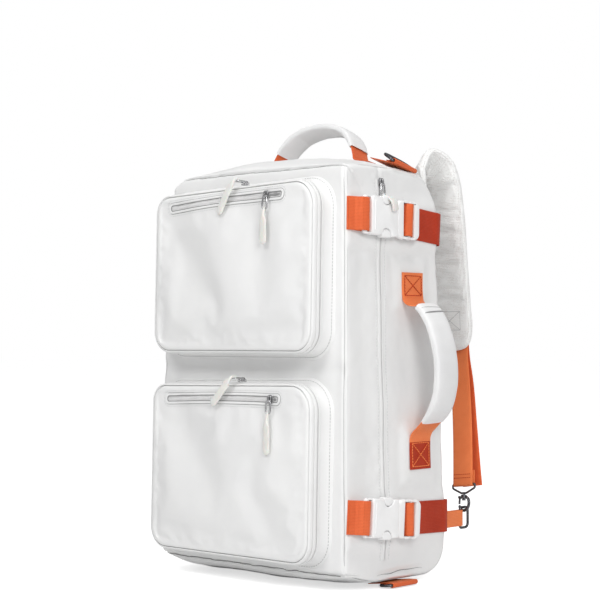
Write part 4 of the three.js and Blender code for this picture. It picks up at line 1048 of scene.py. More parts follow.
def pocketShell(row):
    belt = np.array([pocketRing(row, inset, out) for inset, out in pocketRings])
    loop = np.roll(belt[-1], -pocketSteps["arc"] // 2, 0)
    across, up = (pocketSteps[key] + pocketSteps["arc"] + 1 for key in ("across", "up"))
    face = fourSided(loop, across, up)
    s, t = np.linspace(-1, 1, across + 1)[None, :], np.linspace(-1, 1, up + 1)[:, None]
    swell = (1 - np.abs(s) ** 3.2) * (1 - np.abs(t) ** 3.2)
    x, z = face[..., 0], face[..., 2]
    edgeShare = np.minimum((1 - np.abs(s)) * across, (1 - np.abs(t)) * up) / 5
    inner = np.clip(edgeShare, 0, 1)
    hold = inner**1.5
    lift = pocket["crown"] * swell + hold * (sum(softFold(x, z, fold) for fold in row["folds"]) - 0.6)
    flat = stacked(x.ravel(), 0, z.ravel())
    lift += hold * 1.2 * cloudy(flat, 46, row["low"]).reshape(x.shape)
    lift += 0.9 * bell(edgeShare - 1.0, 0.9) * cloudy(flat, 12, 2.0).reshape(x.shape) * inner
    face[..., 1] -= lift
    welt = np.abs(z - row["welt"] - weltAt(row, x)) < pocket["weltHeight"]
    pins = np.maximum(1 - inner**0.5, 0.8 * welt)
    sheet = settled(sheetOf(face), pins, push=0.1, spread=0.004, stiff=16, frames=18, cap=6.0)
    return joined([beltOf(belt), sheet])


def makePocket(row):
    name = "pocket_" + row["name"]
    shape = pocketShell(row)
    tree = treeOf(shape)
    dressNode(name + "_shell", placed(shape, frontPlace), "coated", sharp=60)

    def onFace(x, z, lift):
        spots, ways = cast(tree, stacked(x, outside["front"], z), yAxis)
        return spots - (0, lift, 0), ways * np.where(ways[:, 1:2] > 0, -1, 1)

    # zip round the gusset
    ring = evenly(pocketRing(row, 0.5, pocket["zipMiddle"]), 4, True)
    ways = np.cross(framesOf(ring, yAxis, True)[0], yAxis)
    ways *= np.sign((ways * (ring - ring.mean(0))).sum(1)).mean()
    makeZip(name + "_gusset", zipShapes(ring, ways, True), name + "_gusset_zip", frontPlace)

    # welt zip of the face
    x = np.linspace(pocket["weltFrom"] + 4, pocket["weltTo"] - 4, 70)

    def heightAt(u):  # the welt bows up a little
        bow = 1.6 * np.sin(np.pi * np.clip((u - x[0]) / (x[-1] - x[0]), 0, 1))
        return row["welt"] + weltAt(row, u) + bow

    def weltRing(grow, radius, lift):
        run = roundedRectangle(weltLong + grow, pocket["weltHeight"] + grow, radius, 60, 8)
        u = run[:, 0] + weltMiddle
        return onFace(u, run[:, 1] + heightAt(u), lift)

    spots, ways = onFace(x, heightAt(x), -0.2)
    ways[:] = unit(ways.mean(0))
    makeZip(name + "_welt", zipShapes(spots, ways, lips=False), name + "_welt_zip", frontPlace)
    spots, ways = weltRing(grow=0, radius=5, lift=0.75)
    lip = sweep(spots, np.cross(framesOf(spots, ways, True)[0], ways), flatSection(3.4, 1.8), True)
    makePiece(name + "_welt_lips", placed(lip, frontPlace), "coated")
    inner, outer = weltRing(grow=-4.2, radius=3, lift=0.7), weltRing(grow=4, radius=7, lift=0.1)
    # lines of painted shade round the welt's lips, and a dark lens of painted shade in its open end
    lines = [seamLine(*inner, 0.6, True), seamLine(*outer, 0.3, True)]
    opening = np.linspace(row["weltSlider"] + 3, pocket["weltTo"] - 5, 16)
    wide = 0.4 + 1.5 * np.sin(np.pi * np.linspace(0.08, 0.97, 16))
    gap = np.stack([softSection(w, 0.45, 0.8, 10) for w in wide])
    lines.append(sweep(onFace(opening, heightAt(opening), 0.75)[0], zAxis, gap))
    sewn = stitches(*weltRing(grow=10, radius=9, lift=0.05), True)

    # sliders and pulls
    face = pocket["out"] + pocket["crown"] * 0.54 + 2.0
    spot = frontPlace @ shifted(row["weltSlider"], -face, row["welt"] + weltAt(row, row["weltSlider"]))
    dressNode(name + "_welt_slider", placed(slide, spot), "nickel")
    dressNode(name + "_welt_pull", placed(pullShape(hangingPull(row["weltPull"])), spot), "rubber")
    rightward = (row["slider"] - pocket["centre"] + pocket["half"]) / (2 * pocket["half"])
    top = row["high"] - row["droop"] * (1 - rightward) + 2.0
    spot = shifted(row["slider"], -pocket["zipMiddle"], top)
    dressNode(name + "_gusset_slider", placed(slide, frontPlace @ (spot @ turned(-quarter, "X"))), "nickel")
    drift = row["drift"]
    over = [(0, -10, 5.4), (0, -16, 7.2), (0, -20, 7.0), (0.06 * drift, -22.8, 3.2),
            (0.3 * drift, -24.6, -7), (drift, -26.4, row["drop"])]
    dressNode(name + "_gusset_pull", placed(pullShape(over), frontPlace @ spot), "rubber")

    # the face's seam, a line of painted shade heavier along the bottom, and the row of stitches in the
    # gusset's flared foot, in pale painted shade
    edge = evenly(pocketRing(row, 3.6, 33.5), 4, True)
    seamShadeWidth = 0.26 + 0.5 * (1 - smooth(edge[:, 2], row["low"] + 6, row["low"] + 24))
    lines.append(seamLine(edge, forward, seamShadeWidth, True))
    foot = evenly(pocketRing(row, -4.4, 2.6), 4, True)
    dots = stitches(foot, unit(unit(foot - foot.mean(0)) + (0, -1.4, 0)), True, radius=0.45)
    makePiece(name + "_foot_stitches", placed(dots, frontPlace), "seamPale")
    makePiece(name + "_stitches", placed(sewn, frontPlace), "whiteThread")
    makePiece(name + "_seams", placed(joined(lines), frontPlace), "seamShade")


for row in pockets:
    makePocket(row)
print("pockets made")

# Top port: a bound slot at the back of the top panel


def portRim(grow):  # a ring on the shell round the slot, and the ways up from it
    run = roundedRectangle(port["width"] + grow, port["depth"] + grow, port["radius"] + grow / 2, 14, 10)
    y = np.minimum(run[:, 1] + port["y"], backAt(body["height"]) - 3.5)
    spots, ways = cast(bodyTree, stacked(run[:, 0], y, outside["above"]), downward)
    return evened(spots, 5, True), unit(evened(ways, 5, True))


def makePort():
    path, ways = portRim(4)
    away = unit(path * (1, 1, 0) - (0, port["y"], 0))
    flat = unit(away - ways * (away * ways).sum(1, keepdims=True))
    section = softSection(port["binding"] / 2, 2.6, 0.7, 20)
    dressNode("top_port_binding", sweep(path - ways * 0.4, flat, section, True), "coated")
    spots, ways = portRim(14)
    makePiece("top_port_stitches", stitches(spots + ways * thread["lift"], ways, True), "whiteThread")


makePort()
print("port made")

# Compression straps with side release buckles, along +Y from the front seam

webbing = dict(width=45, thick=1.5, stand=2.9, ripple=0.9)
straps = [
    dict(name="upper", height=492, slope=2.5, rearSlope=5.5, loose=6),
    dict(name="lower", height=91, slope=5.5, rearSlope=2, loose=3.4),
]
buckle = dict(
    start=25, bar=7, slot=8, female=67, male=48, half=26, stand=2.5, thick=12, windowFrom=33, windowTo=55,
    bite=10, ladderFirst=14, ladderSlot=7, ladderBar=8, ladderThick=9, pressThick=10.4,
)
buckleEnd = buckle["start"] + buckle["female"] + buckle["male"]
biteAt = buckle["start"] + (buckle["windowFrom"] + buckle["windowTo"]) / 2
halfCircle = np.radians(np.linspace(180, 0, 17))
shoulderAt = buckle["start"] + buckle["female"] + 0.4
firstSlot = shoulderAt + buckle["ladderFirst"] + buckle["ladderSlot"] / 2
secondSlot = firstSlot + buckle["ladderSlot"] + buckle["ladderBar"]
plateAxes = matrixOf((0, 1, 0), (0, 0, 1), (1, 0, 0))  # a plate's x along +Y, its y up, its z out


def plate(start, stop, half, radius):
    return roundedRectangle(stop - start, 2 * half, radius) + ((start + stop) / 2, 0)


def sideBand(flat):  # a strap on the side, from its places along it and out of it
    return band(stacked(flat[:, 1], flat[:, 0], 0), zAxis, webbing["width"], webbing["thick"])


def frontWebbing():
    bar = buckle["start"] + buckle["bar"] / 2
    high = buckle["stand"] + buckle["thick"] / 2
    run = [(3, -1.2), (6, 0.7), (11, 1.3), (bar - 4, 1.5), (bar + 2, 2.4), (bar + 6.6, high),
           (bar + 2, high + 5.6), (bar - 4, high + 5), (bar - 11, high), (14, 5), (8.5, 3.1), (3.5, 1.4)]
    flat = through(run, 160)
    outer = np.arange(len(flat)) > np.argmax(flat[:, 0])
    for y in (bar - 13.7, bar - 8.5):  # two soft ripples where the webbing comes back over the bar
        flat[:, 1] += outer * webbing["ripple"] * bell(flat[:, 0] - y, 1.5)
    return sideBand(flat)


def rearWebbing(backEdge, loose):
    over = buckle["stand"] + 10.5 + 2.1
    run = [(firstSlot - 9, 1.6), (firstSlot - 3, 2), (firstSlot, 6), (firstSlot + 1.2, over - 2),
           (firstSlot + 4, over), (secondSlot - 4, over), (secondSlot - 1.2, over - 2), (secondSlot, 6),
           (secondSlot + 3, 2), (buckleEnd, 1.6), (backEdge - 20, 1.3), (backEdge + loose - 8, 1.1),
           (backEdge + loose - 1.4, -3.6), (backEdge + loose, -12), (backEdge + webbing["stand"], -34)]
    flat = through(run, 150)
    ridge = webbing["ripple"] * bell(flat[:, 0] - (firstSlot + secondSlot) / 2, 2.6)
    flat[:, 1] += ridge * (flat[:, 1] > over - 1.5)  # rounds it over the ladder's bar
    cut = int(np.argmax(flat[:, 0] > secondSlot + 2.5))
    return sideBand(flat[cut:]), sideBand(flat[: cut + 1])


def notched(start, stop, half, radius):  # a buckle's outline with a round bite out of both long edges
    bite = buckle["bite"] * stacked(np.cos(halfCircle), np.sin(halfCircle)) + (biteAt, -half)
    angle = np.radians(np.linspace(0, 90, 7))
    corner = radius * stacked(1 - np.cos(angle), 1 - np.sin(angle))
    left = np.array([start, -half]) + corner
    right = (np.array([stop, -half]) + corner * (-1, 1))[::-1]
    low = np.concatenate([left, bite, right])
    return np.concatenate([low, low[::-1] * (1, -1)])


def pressTab(side):  # the round end that is pressed to open the buckle
    reach = buckle["bite"] - 0.7
    dome = reach * stacked(np.cos(halfCircle), np.sin(halfCircle))
    base = np.array([(reach, -1.4), (reach - 2, -2.2), (2 - reach, -2.2), (-reach, -1.4)])
    outline = np.concatenate([dome, base]) + (0, -buckle["half"])
    return outline[::-side] * (1, -side) + (biteAt, 0)


def upright(shape, out):
    return placed(shape, shifted(buckle["stand"] + out, 0, 0) @ plateAxes)


def femaleHalf():
    start, half, thick = buckle["start"], buckle["half"], buckle["thick"]
    neck = start + buckle["bar"] + buckle["slot"]
    hole = plate(start + buckle["bar"], neck, half - 2.5, 1.5)
    frameBar = softPlate([plate(start, neck + 6, half, 4), hole], thick - 6, 2)
    case = softPlate([notched(neck - 3, start + buckle["female"], half, 5)], thick, 2.4)
    ridge = softPlate([plate(neck + 3, neck + 5.4, half - 6, 1.1)], 1.6, 0.6)
    return joined([upright(frameBar, thick / 2), upright(case, thick / 2), upright(ridge, thick)])


def maleHalf():
    half, wide = buckle["half"], buckle["ladderSlot"] / 2
    slots = [plate(at - wide, at + wide, half - 1.8, 1.5) for at in (firstSlot, secondSlot)]
    plates = [softPlate([plate(shoulderAt, buckleEnd, half, 9), *slots], buckle["ladderThick"], 2.6)]
    plates += [softPlate([pressTab(side)], buckle["pressThick"], 2) for side in (-1, 1)]
    return joined([upright(part, buckle["thick"] / 2) for part in plates])


def makeStrap(strap):
    name, height = strap["name"], strap["height"]
    slope, rearSlope = math.radians(strap["slope"]), math.radians(strap["rearSlope"])
    frontEdge = frontAt(height)
    place = sidePlace @ shifted(0, frontEdge, height) @ turned(-slope, "X")
    dressNode(f"strap_{name}_front", placed(frontWebbing(), place), "webbing")
    dressNode(f"buckle_{name}_female", placed(femaleHalf(), place), "plastic", sharp=50)
    dressNode(f"buckle_{name}_male", placed(maleHalf(), place), "plastic", sharp=50)
    turnAt = (firstSlot + secondSlot) / 2  # the rear strap turns a little in the ladder
    rear = place @ shifted(0, turnAt, 0) @ turned(slope - rearSlope, "X") @ shifted(0, -turnAt, 0)
    turnY = frontEdge + turnAt * math.cos(slope)
    backEdge = turnAt + (backAt(height - webbing["width"]) - turnY) / math.cos(rearSlope)
    # the rear strap past the ladder is in painted shade, the piece in the ladder in the plain webbing
    far, near = (placed(part, rear) for part in rearWebbing(backEdge, strap["loose"]))
    dressNode(f"strap_{name}_rear", far, "webbingDeep")
    makePiece(f"strap_{name}_slot", near, "webbing")


for strap in straps:
    makeStrap(strap)
print("straps made")

# Carry handles: webbing tabs and a padded sleeve

sideHandle = dict(  # routes by height, out of the side, and y
    width=45, thick=13, mouth=0.98, tabCut=183,
    topTab=[(416, 1.2, 40), (384, 1.2, 40), (378, 2, 40), (373, 6, 40), (370.4, 12, 40), (369.4, 18, 41),
            (368.6, 25, 41)],
    sleeve=[(368, 23.5, 41), (362, 30, 41), (348, 39, 42), (320, 49, 43), (282, 53, 45), (246, 47, 47),
            (222, 34, 49), (211, 23.5, 50)],
    bottomTab=[(213, 27, 50), (209.6, 22, 50), (201, 12, 50), (194, 4.5, 50), (187, 1.5, 50), (182, 1.2, 50),
               (145, 1.2, 50)],
)
topHandle = dict(width=40, thick=11, x=4, y=36, halfSpan=78, apex=634, lean=15)
sleeveMouth = dict(narrow=0.62, reach=0.16)  # how flat a sleeve ends, and over which share of it


def sleeveShape(path, across, width, thick, mouth=sleeveMouth["narrow"]):  # padded, open at both ends
    path = through(path, 72)
    t = np.linspace(0, 1, len(path))
    ends = np.where(t < 0.5, mouth, sleeveMouth["narrow"])
    full = ends + (1 - ends) * smooth(np.minimum(t, 1 - t), 0, sleeveMouth["reach"])
    sections = []
    for share, thickness in zip(t, full * thick / 2):
        ripple = 1 + 0.02 * math.sin(share * 41) + 0.015 * math.sin(share * 67 + 1)
        half = width / 2 * (1 + 0.01 * math.sin(share * 23))
        sections.append(softSection(half, thickness * ripple, 0.55, 44))
    side, up = framesOf(path, across)[1:]

    def ringAt(row, at, wide=1.0, high=1.0):
        section = sections[row] * (wide, high)
        return path[at] + section[:, :1] * side[at] + section[:, 1:] * up[at]

    shapes = [beltOf(np.array([ringAt(i, i) for i in range(len(path))]))]
    for end, step in ((0, 1), (-1, -1)):  # the hem turns in at each end
        rows = [ringAt(end, end), ringAt(end, end, 0.95, 0.76), ringAt(end, end + 5 * step, 0.93, 0.7)]
        shapes.append(beltOf(np.array(rows)))
    slits = []
    for row, radius in ((3, 0.3), (6, 1.1)):  # the hem's seam and the dark slit beside it, outside, as lines of painted shade
        line = ringAt(row, row)[3:19]
        fade = 0.1 + radius * np.sin(np.linspace(0.1, 3, len(line)))
        slits.append(seamLine(line, up[row], fade))
    return joined(shapes), joined(slits)


def boxRuns(width, height):  # a sewn box with an X in it
    w, h = width / 2, height / 2
    runs = [[(-w, -h), (w, -h), (w, h), (-w, h), (-w, -h)], [(-w, -h), (w, h)], [(-w, h), (w, -h)]]
    return [np.array(run, float) for run in runs]


def sewnBox(y, height, width, length):  # on a webbing tab of the right side
    shapes = []
    for run in boxRuns(width, length):
        line = evenly(run, 1.2)
        shapes.append(stitches(stacked(0.0, line[:, 0], line[:, 1]), xAxis, length=2.6, radius=0.6))
    return placed(joined(shapes), sidePlace @ shifted(1.95, y, height))


def makeSideHandle():
    routes = {key: np.array(sideHandle[key])[:, [1, 2, 0]] for key in ("topTab", "sleeve", "bottomTab")}

    def tab(path):
        return placed(band(path, yAxis, webbing["width"], webbing["thick"]), sidePlace)

    # painted light on the tabs that face the light, painted shade on the bottom tab's sewn lower end
    dressNode("handle_side_tab_top", tab(through(routes["topTab"], 60)), "webbingPaintedLight")
    path = through(routes["bottomTab"], 60)
    cut = int(np.argmax(path[:, 2] < sideHandle["tabCut"]))
    dressNode("handle_side_tab_bottom", tab(path[: cut + 1]), "webbingPaintedLight")
    makePiece("handle_side_tab_sewn", tab(path[cut:]), "webbingDeep")
    size = [sideHandle[key] for key in ("width", "thick", "mouth")]
    sleeve, slit = sleeveShape(routes["sleeve"], yAxis, *size)
    makePiece("handle_side_slit_shade", placed(slit, sidePlace), "seamShade")
    piece = dressNode("handle_side_sleeve", placed(sleeve, sidePlace), "sleeve", sharp=55)
    # the top box is stitched in the painted-shade tone of the webbing
    makePiece("handle_side_box_top", sewnBox(40, 398, 36, 27), "webbingDeep")
    makePiece("handle_side_box_bottom", sewnBox(50, 165, 36, 32), "orangeThread")


def makeTopHandle():
    middle, y, halfSpan = topHandle["x"], topHandle["y"], topHandle["halfSpan"]
    slope = math.tan(math.radians(topHandle["lean"]))
    seat = highestAt(halfSpan, y)
    rise = topHandle["apex"] - topHandle["thick"] / 2 - seat
    leaning = unit(np.array([0, 1, -slope]))

    def at(share, lift):
        return middle + share * halfSpan, y + lift * rise * slope, seat + lift * rise

    for name, end in (("left", -1), ("right", 1)):
        lying = [middle + end * share * halfSpan for share in (1.38, 1.12, 1.04)]
        rows = [(x, y, onTop(x, y) + 1.1) for x in lying]
        standing = ((1, 0.11), (0.97, 0.2), (0.925, 0.336), (0.89, 0.42))
        rows += [at(end * share, lift) for share, lift in standing]
        path = through(rows, 60)
        tilt = smooth(np.linspace(0, 1, len(path)), 0.35, 0.65)[:, None]
        x = middle + end * 1.2 * halfSpan
        flat = unit(np.array([0, 20.0, onTop(x, y + 10) - onTop(x, y - 10)]))
        shape = band(path, (1 - tilt) * flat + tilt * leaning, topHandle["width"] - 4, webbing["thick"])
        dressNode(f"handle_top_tab_{name}", shape, "webbing")
    arch = [(0.92, 0.345), (0.82, 0.56), (0.6, 0.82), (0.32, 0.96)]
    rows = [at(-share, lift) for share, lift in arch] + [at(0, 1)] + [at(*spot) for spot in arch[::-1]]
    shape = sleeveShape(rows, leaning, topHandle["width"], topHandle["thick"])[0]
    sleeve = dressNode("handle_top_sleeve", shape, "sleeve", sharp=55)


makeSideHandle()
makeTopHandle()
print("handles made")

# End rings: a folded loop of webbing with a D-ring in the fold

endRing = dict(half=29, depth=25, wire=2, width=52, thick=1.2, gap=0.4)
endRings = dict(
    top=dict(x=140, y=36, barOut=22, stand=4.2, tilt=6, lift=2.2, raised=8, way=1, height=highestAt),
    bottom=dict(x=154, y=6, barOut=32, stand=4.2, tilt=0, lift=0, raised=0, way=-1, height=lowestAt),
)


def surfaceFrame(ring):
    x, y, heightAt, step = ring["x"], ring["y"], ring["height"], 8
    out = unit(np.array([2 * step, 0, heightAt(x + step, y) - heightAt(x - step, y)]))
    back = np.array([0, 2 * step, heightAt(x, y + step) - heightAt(x, y - step)])
    normal = unit(np.cross(out, back) * ring["way"])
    place = matrixOf(out, np.cross(normal, out), normal, (x, y, heightAt(x, y)))
    return place @ shifted(0, 0, ring["lift"]) @ turned(-math.radians(ring["tilt"]), "X")


def makeEndRing(name, ring):
    place = surfaceFrame(ring)
    thick, gap, half, depth = endRing["thick"], endRing["gap"], endRing["half"], endRing["depth"]
    around = endRing["wire"] + gap + thick / 2
    first = gap + thick / 2
    second = first + thick + gap
    out, stand = ring["barOut"], ring["stand"]
    run = [(out - 42, first), (out - 20, first), (out - 8, first), (out - 2, stand - around + 0.2),
           (out + around * 0.75, stand - around * 0.7), (out + around * 0.95, stand + around * 0.4),
           (out, stand + around), (out - 5, max(stand + 0.4, second + 1)), (out - 9, second + 0.1),
           (out - 13, second)]
    flat = through(run, 80)
    loop = band(stacked(flat[:, 0], 0, flat[:, 1]), yAxis, endRing["width"], thick)
    dressNode(f"ring_loop_{name}", placed(loop, place), "webbing")
    corners = [(-half, 0, 4), (half, 0, 4), (half, depth, 16), (-half, depth, 16)]
    u, v = roundedOutline(corners, (20, 4, 8, 4), 12).T
    far = first + thick / 2 + gap + endRing["wire"] + ring["raised"]
    lying = math.asin((far - stand) / depth)
    turn = turned(lying, "Y") @ turned(quarter, "Z") @ turned(-quarter, "X")
    shape = tube(stacked(u, 0, v), endRing["wire"], yAxis, 16, True)
    dressNode(f"d_ring_{name}", placed(shape, place @ shifted(out, 0, stand) @ turn), "gunmetal")


for name, ring in endRings.items():
    makeEndRing(name, ring)
print("end rings made")

# Shoulder straps: padded strap, webbing, snap hook and anchor, made for the right and mirrored

shoulder = dict(width=72, thick=13, webWidth=34, webThick=1.5, hem=14, hemThick=1.9)
padRows = [
    dict(x=92, y=110.6, z=468, yaw=0, roll=0, width=0.8, thick=0.5),
    dict(x=93, y=112, z=498, yaw=0, roll=5, width=0.9, thick=0.7),
    dict(x=96, y=117, z=525, yaw=0, roll=14, width=1, thick=0.9),
    dict(x=101, y=125, z=547, yaw=-2, roll=28, width=1, thick=1),
    dict(x=106.5, y=135, z=564, yaw=-4, roll=40, width=1, thick=1),
    dict(x=112.5, y=147, z=572.5, yaw=-5, roll=45, width=1, thick=1),
    dict(x=118, y=158, z=567, yaw=-6, roll=41, width=1, thick=1),
    dict(x=122.5, y=167, z=548, yaw=-6, roll=30, width=1, thick=1),
    dict(x=126, y=174, z=510, yaw=-6, roll=15, width=1, thick=1),
    dict(x=127.5, y=180, z=440, yaw=-5, roll=5, width=1, thick=1),
    dict(x=129.5, y=184.5, z=372, yaw=-4, roll=0, width=1, thick=1),
    dict(x=132.5, y=186.5, z=330, yaw=-4, roll=0, width=0.94, thick=1),
    dict(x=133.5, y=187.1, z=316, yaw=-4, roll=0, width=0.78, thick=0.9),
    dict(x=134, y=187.5, z=309, yaw=-4, roll=0, width=0.5, thick=0.7),
]
padSteps = 150
padSewn = dict(x=131.5, z=351, width=40, height=27)
crestDraw = dict(at=0.34, width=0.13, share=0.28)  # the inner edge draws in over the crest


def padLine():
    table = np.array([list(row.values()) for row in padRows], float)
    scale = np.array([1, 1, 1, 1, 1, 20, 20])  # so that shares count in the length of a step
    run = through(table * scale, padSteps) / scale
    yaw, roll = np.radians(run[:, 3]), np.radians(run[:, 4])
    across = stacked(np.cos(yaw) * np.cos(roll), np.sin(yaw) * np.cos(roll), np.sin(roll))
    half = run[:, 5] * shoulder["width"] / 2
    crest = bell(np.arange(padSteps) / padSteps - crestDraw["at"], crestDraw["width"])
    drawn = crestDraw["share"] * crest * half
    path = run[:, :3] + framesOf(run[:, :3], across)[1] * drawn[:, None]
    return path, across, half - drawn, run[:, 6]


def padShape():
    path, across, width, thick = padLine()
    flat = 1 - smooth(path[:, 2], 356, 384)  # calm where the webbing is sewn on
    sections = []
    for w, h, run, low in zip(width, thick * shoulder["thick"] / 2, lengthsAlong(path), flat):
        section = softSection(w, h, 0.5, 56)
        share = section[:, 0] / w
        inward = np.clip(1 - np.abs(share) ** 6, 0, 1)
        lumps = cloudy(stacked(share * 0.6, run / 11, np.sign(section[:, 1])), 1.0, 6.0)
        section[:, 1] *= 1 + inward * (0.16 * (1 - low) * lumps - 0.06)
        sections.append(section)
    sections = np.array(sections)
    ends = np.minimum(np.arange(padSteps), np.arange(padSteps)[::-1])[:, None] / 8
    edges = np.abs(sections[..., 0]) / np.maximum(width, 1)[:, None]
    pins = np.maximum(np.maximum(np.clip(1 - ends, 0, 1), flat[:, None]), smooth(edges, 0.8, 0.97))
    pad = sweep(path, across, sections)
    return settled(pad, pins, push=1.0, spread=0.02, stiff=4, frames=16, cap=2.6)


def padBinding():
    path, across, width = padLine()[:3]
    side, flat = framesOf(path, across)[1:]
    edge = (width - 1.2)[:, None]
    run = np.concatenate([path + side * edge, (path - side * edge)[::-1]])
    lean = np.concatenate([flat, flat[::-1]])
    run = evened(evenly(np.concatenate([run, lean * 40], 1), 4), 4)
    return sweep(run[:, :3], unit(run[:, 3:]), softSection(4.2, 1.9, 0.8, 14))


def padBox(pad):  # the box and cross that hold the webbing, on the pad's front, as lines of pale painted shade
    tree = treeOf(pad)
    lines = []
    for run in boxRuns(padSewn["width"], padSewn["height"]):
        flat = evenly(run, 2.5)
        path = cast(tree, stacked(padSewn["x"] + flat[:, 0], 0, padSewn["z"] + flat[:, 1]), yAxis)[0]
        lines.append(seamLine(path, forward, 0.4))
    return joined(lines)


# Snap hooks, in a frame with its origin under the eye and z along the strap

hook = dict(eyeHalf=19.5, eyeTop=14, eyeShoulder=8.5, eyeWire=1.5, seat=-18.6, wire=2.2,
            hingeX=-6.9, hingeZ=-4.6)
anchor = dict(x=172, bar=150, height=69, width=23, half=14.5, depth=18, wire=1.9)
hookUp = unit(np.array([-0.11, 0.155, 0.982]))
hookAcross = unit(np.array([1.0, 0, 0]) - hookUp * hookUp[0])
hookSeat = np.array([anchor["x"], anchor["bar"] + anchor["depth"] / 2, anchor["height"] + anchor["half"]])
hookPlace = matrixOf(hookAcross, np.cross(hookUp, hookAcross), hookUp, hookSeat - hookUp * hook["seat"])


def turnedPart(rows):  # a round part from rows of radius and height
    circle = roundSection(1, 24)
    return beltOf(np.array([stacked(r * circle[:, 0], r * circle[:, 1], z) for r, z in rows]), caps=True)


def flatWire(line, radius, closed=True):
    return tube(stacked(line[:, 0], 0, line[:, 1]), radius, yAxis, 14, closed)


def crossPin(reach, radius, sides):  # along the gate's hinge
    path = stacked(hook["hingeX"], np.array(reach), hook["hingeZ"])
    return tube(path, radius, xAxis, sides)


def eyeShape():
    e, s, top = hook["eyeHalf"], hook["eyeShoulder"], hook["eyeTop"]
    corners = [(-e, top, 2), (-e, s, 3), (-4.5, 1.4, 3), (4.5, 1.4, 3), (e, s, 3), (e, top, 2)]
    loop = flatWire(roundedOutline(corners, (1, 4, 2, 4, 1, 12), 6), hook["eyeWire"])
    post = turnedPart([(0.4, -9.4), (2.8, -9.2), (2.8, -7.6), (1.9, -7.3), (1.9, 1), (1.2, 2.2), (0.4, 2.4)])
    return joined([loop, post])


def hookBodyShape():
    collar = turnedPart([(2.3, -6.8), (3.9, -6.8), (4.4, -6.2), (4.4, -5.2), (4.0, -4.8), (4.0, -3.2),
                         (4.4, -2.8), (4.4, -1.8), (3.9, -1.2), (2.3, -1.2)])
    bow = [(3.4, -4), (7.4, -6.6), (9, -13), (6.6, -20.2), (0, -23.5), (-5.6, -21.4), (-7.9, -15.6)]
    line = through(bow, 50)
    t = np.linspace(0, 1, len(line))
    tip = np.sqrt(np.clip(1 - ((t - 0.95) / 0.05).clip(0) ** 2, 0.08, 1))
    swell = hook["wire"] * (0.94 + 0.06 * np.sin(np.pi * t)) * tip
    sections = np.stack([roundSection(r, 14) for r in swell])
    wire = sweep(stacked(line[:, 0], 0, line[:, 1]), yAxis, sections)
    ear = softPlate([roundedRectangle(4.8, 3.8, 1.4)], 1.0, 0.3)
    ears = [placed(ear, shifted(-6, y, hook["hingeZ"]) @ turned(quarter, "X")) for y in (-2.4, 2.4)]
    return joined([collar, wire, *ears, crossPin((-2.9, -2.2, 0, 2.2, 2.9), 0.85, 12)])


def gateShape():
    x, z = hook["hingeX"], hook["hingeZ"]
    lever = flatWire(through([(x, z - 1.2), (x - 0.5, -9), (-7.8, -14.2)], 20), 1.5, False)
    return joined([crossPin((-1.5, -0.8, 0, 0.8, 1.5), 1.9, 18), lever])


# Webbing of the shoulder straps: rows of x, y, z and how far it has turned from the pad to the hook

padYaw = math.radians(-5)
padAcross = np.array([math.cos(padYaw), math.sin(padYaw), 0])


def strapBand(rows, fold=(), hem=0.0):
    centres = [row[:3] for row in rows] + [tuple(hookPlace @ Vector((0, y, z))) for y, z in fold]
    turns = np.array([row[3] for row in rows] + [1.0] * len(fold))[:, None]
    across = (1 - turns) * padAcross + turns * hookAcross
    run = through(np.concatenate([np.array(centres), across * 20], 1), 130)
    steps = np.linalg.norm(np.diff(run[:, :3], axis=0), axis=1)
    toEnd = np.append(np.cumsum(steps[::-1])[::-1], 0)
    thick = shoulder["webThick"] * np.where(toEnd < hem, shoulder["hemThick"], 1)  # a hem doubles the end
    return sweep(run[:, :3], run[:, 3:], np.array([flatSection(shoulder["webWidth"], t) for t in thick]))


def webbingShape():
    behind = shoulder["thick"] / 2 + 0.4 + shoulder["webThick"] / 2
    rows = [(138.6, 185.4 + behind, 350, 0), (137.4, 186.8 + behind, 316, 0), (138, 193, 298, 0.2),
            (144, 188, 268, 0.5), (155.5, 177.5, 205, 0.9)]
    around = hook["eyeWire"] + 0.4 + shoulder["webThick"] / 2
    top = hook["eyeTop"]
    bend = [(around * math.cos(a), top + around * math.sin(a)) for a in np.pi * np.linspace(1, 2, 5)]
    return strapBand(rows, [*((-around, top + up) for up in (24, 10, 1.5)), *bend, (around, top + 1.5),
                            (around, top + 20)])


def tailShape():
    rows = [(138.4, 195.6, 344, 0), (137.6, 196.8, 316, 0), (139, 197, 296, 0.2), (147, 194, 260, 0.5),
            (158, 187, 200, 0.9), (167, 182, 146, 1), (172, 180, 112, 1)]
    return strapBand(rows, hem=shoulder["hem"])


def foldStitches():  # two rows that close the webbing's fold over the hook's eye
    x = np.linspace(-15, 15, 24)
    front = hook["eyeWire"] + 0.45 + shoulder["webThick"]
    lines = [stacked(x, -front, hook["eyeTop"] + up) for up in (9, 14)]
    rows = [stitches(line, forward, length=2.2, radius=0.45) for line in lines]
    return placed(joined(rows), hookPlace)


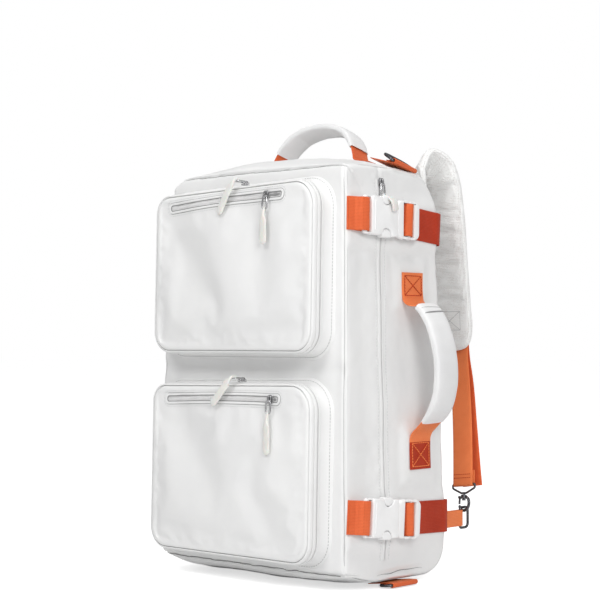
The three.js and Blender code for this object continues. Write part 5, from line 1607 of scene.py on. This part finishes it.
def anchorLoopShape(base):
    bar, around = anchor["bar"], anchor["wire"] + 0.4 + webbing["thick"] / 2
    half = [(base, around - 0.6), (bar - 8, around - 0.4), (bar - 2, around),
            (bar + around * 0.7, around * 0.72)]
    run = [(y, -out) for y, out in half] + [(bar + around, 0)] + half[::-1]
    flat = through(run, 70)
    path = stacked(flat[:, 1] + anchor["x"], flat[:, 0], anchor["height"])
    return band(path, zAxis, anchor["width"], webbing["thick"])


def anchorRingShape():
    half, depth = anchor["half"], anchor["depth"]
    corners = [(0, -half, 3), (depth, -half, 6), (depth, half, 6), (0, half, 3)]
    shape = flatWire(roundedOutline(corners, (4, 6, 4, 6), 8), anchor["wire"])
    return placed(shape, shifted(anchor["x"], anchor["bar"], anchor["height"]) @ turned(quarter, "Z"))


def makeShoulderStraps():
    onPanel = backAt(anchor["height"]) + 0.4
    bases = {"right": onPanel + straps[1]["loose"] + webbing["thick"] / 2 + 0.8, "left": onPanel}
    for end, base in bases.items():
        # the shoulder webbing and anchor loop take the painted-light webbing, the fold stitches its
        # painted-shade tone, the sewn box pale painted shade
        parts = [
            ("shoulder_pad", padShape(), "padCloth"),
            ("shoulder_webbing", webbingShape(), "webbingPaintedLight"),
            ("shoulder_tail", tailShape(), "webbing"),
            ("hook_eye", placed(eyeShape(), hookPlace), "gunmetal"),
            ("hook_body", placed(hookBodyShape(), hookPlace), "gunmetal"),
            ("hook_gate", placed(gateShape(), hookPlace), "gunmetal"),
            ("anchor_loop", anchorLoopShape(base), "webbingPaintedLight"),
            ("anchor_ring", anchorRingShape(), "gunmetal"),
        ]
        sewn = [
            ("shoulder_binding", padBinding(), "padCloth"),
            ("shoulder_fold_stitches", foldStitches(), "webbingDeep"),
            ("shoulder_sewn_box", padBox(parts[0][1]), "seamPale"),
        ]
        for name, shape, finish in parts:
            shape = mirrored(shape) if end == "left" else shape
            piece = dressNode(f"{name}_{end}", shape, finish, sharp=50)
        for name, shape, finish in sewn:
            shape = mirrored(shape) if end == "left" else shape
            makePiece(f"{name}_{end}", shape, finish)


makeShoulderStraps()
print("shoulder straps made")

makeCamera()
makeStudio()
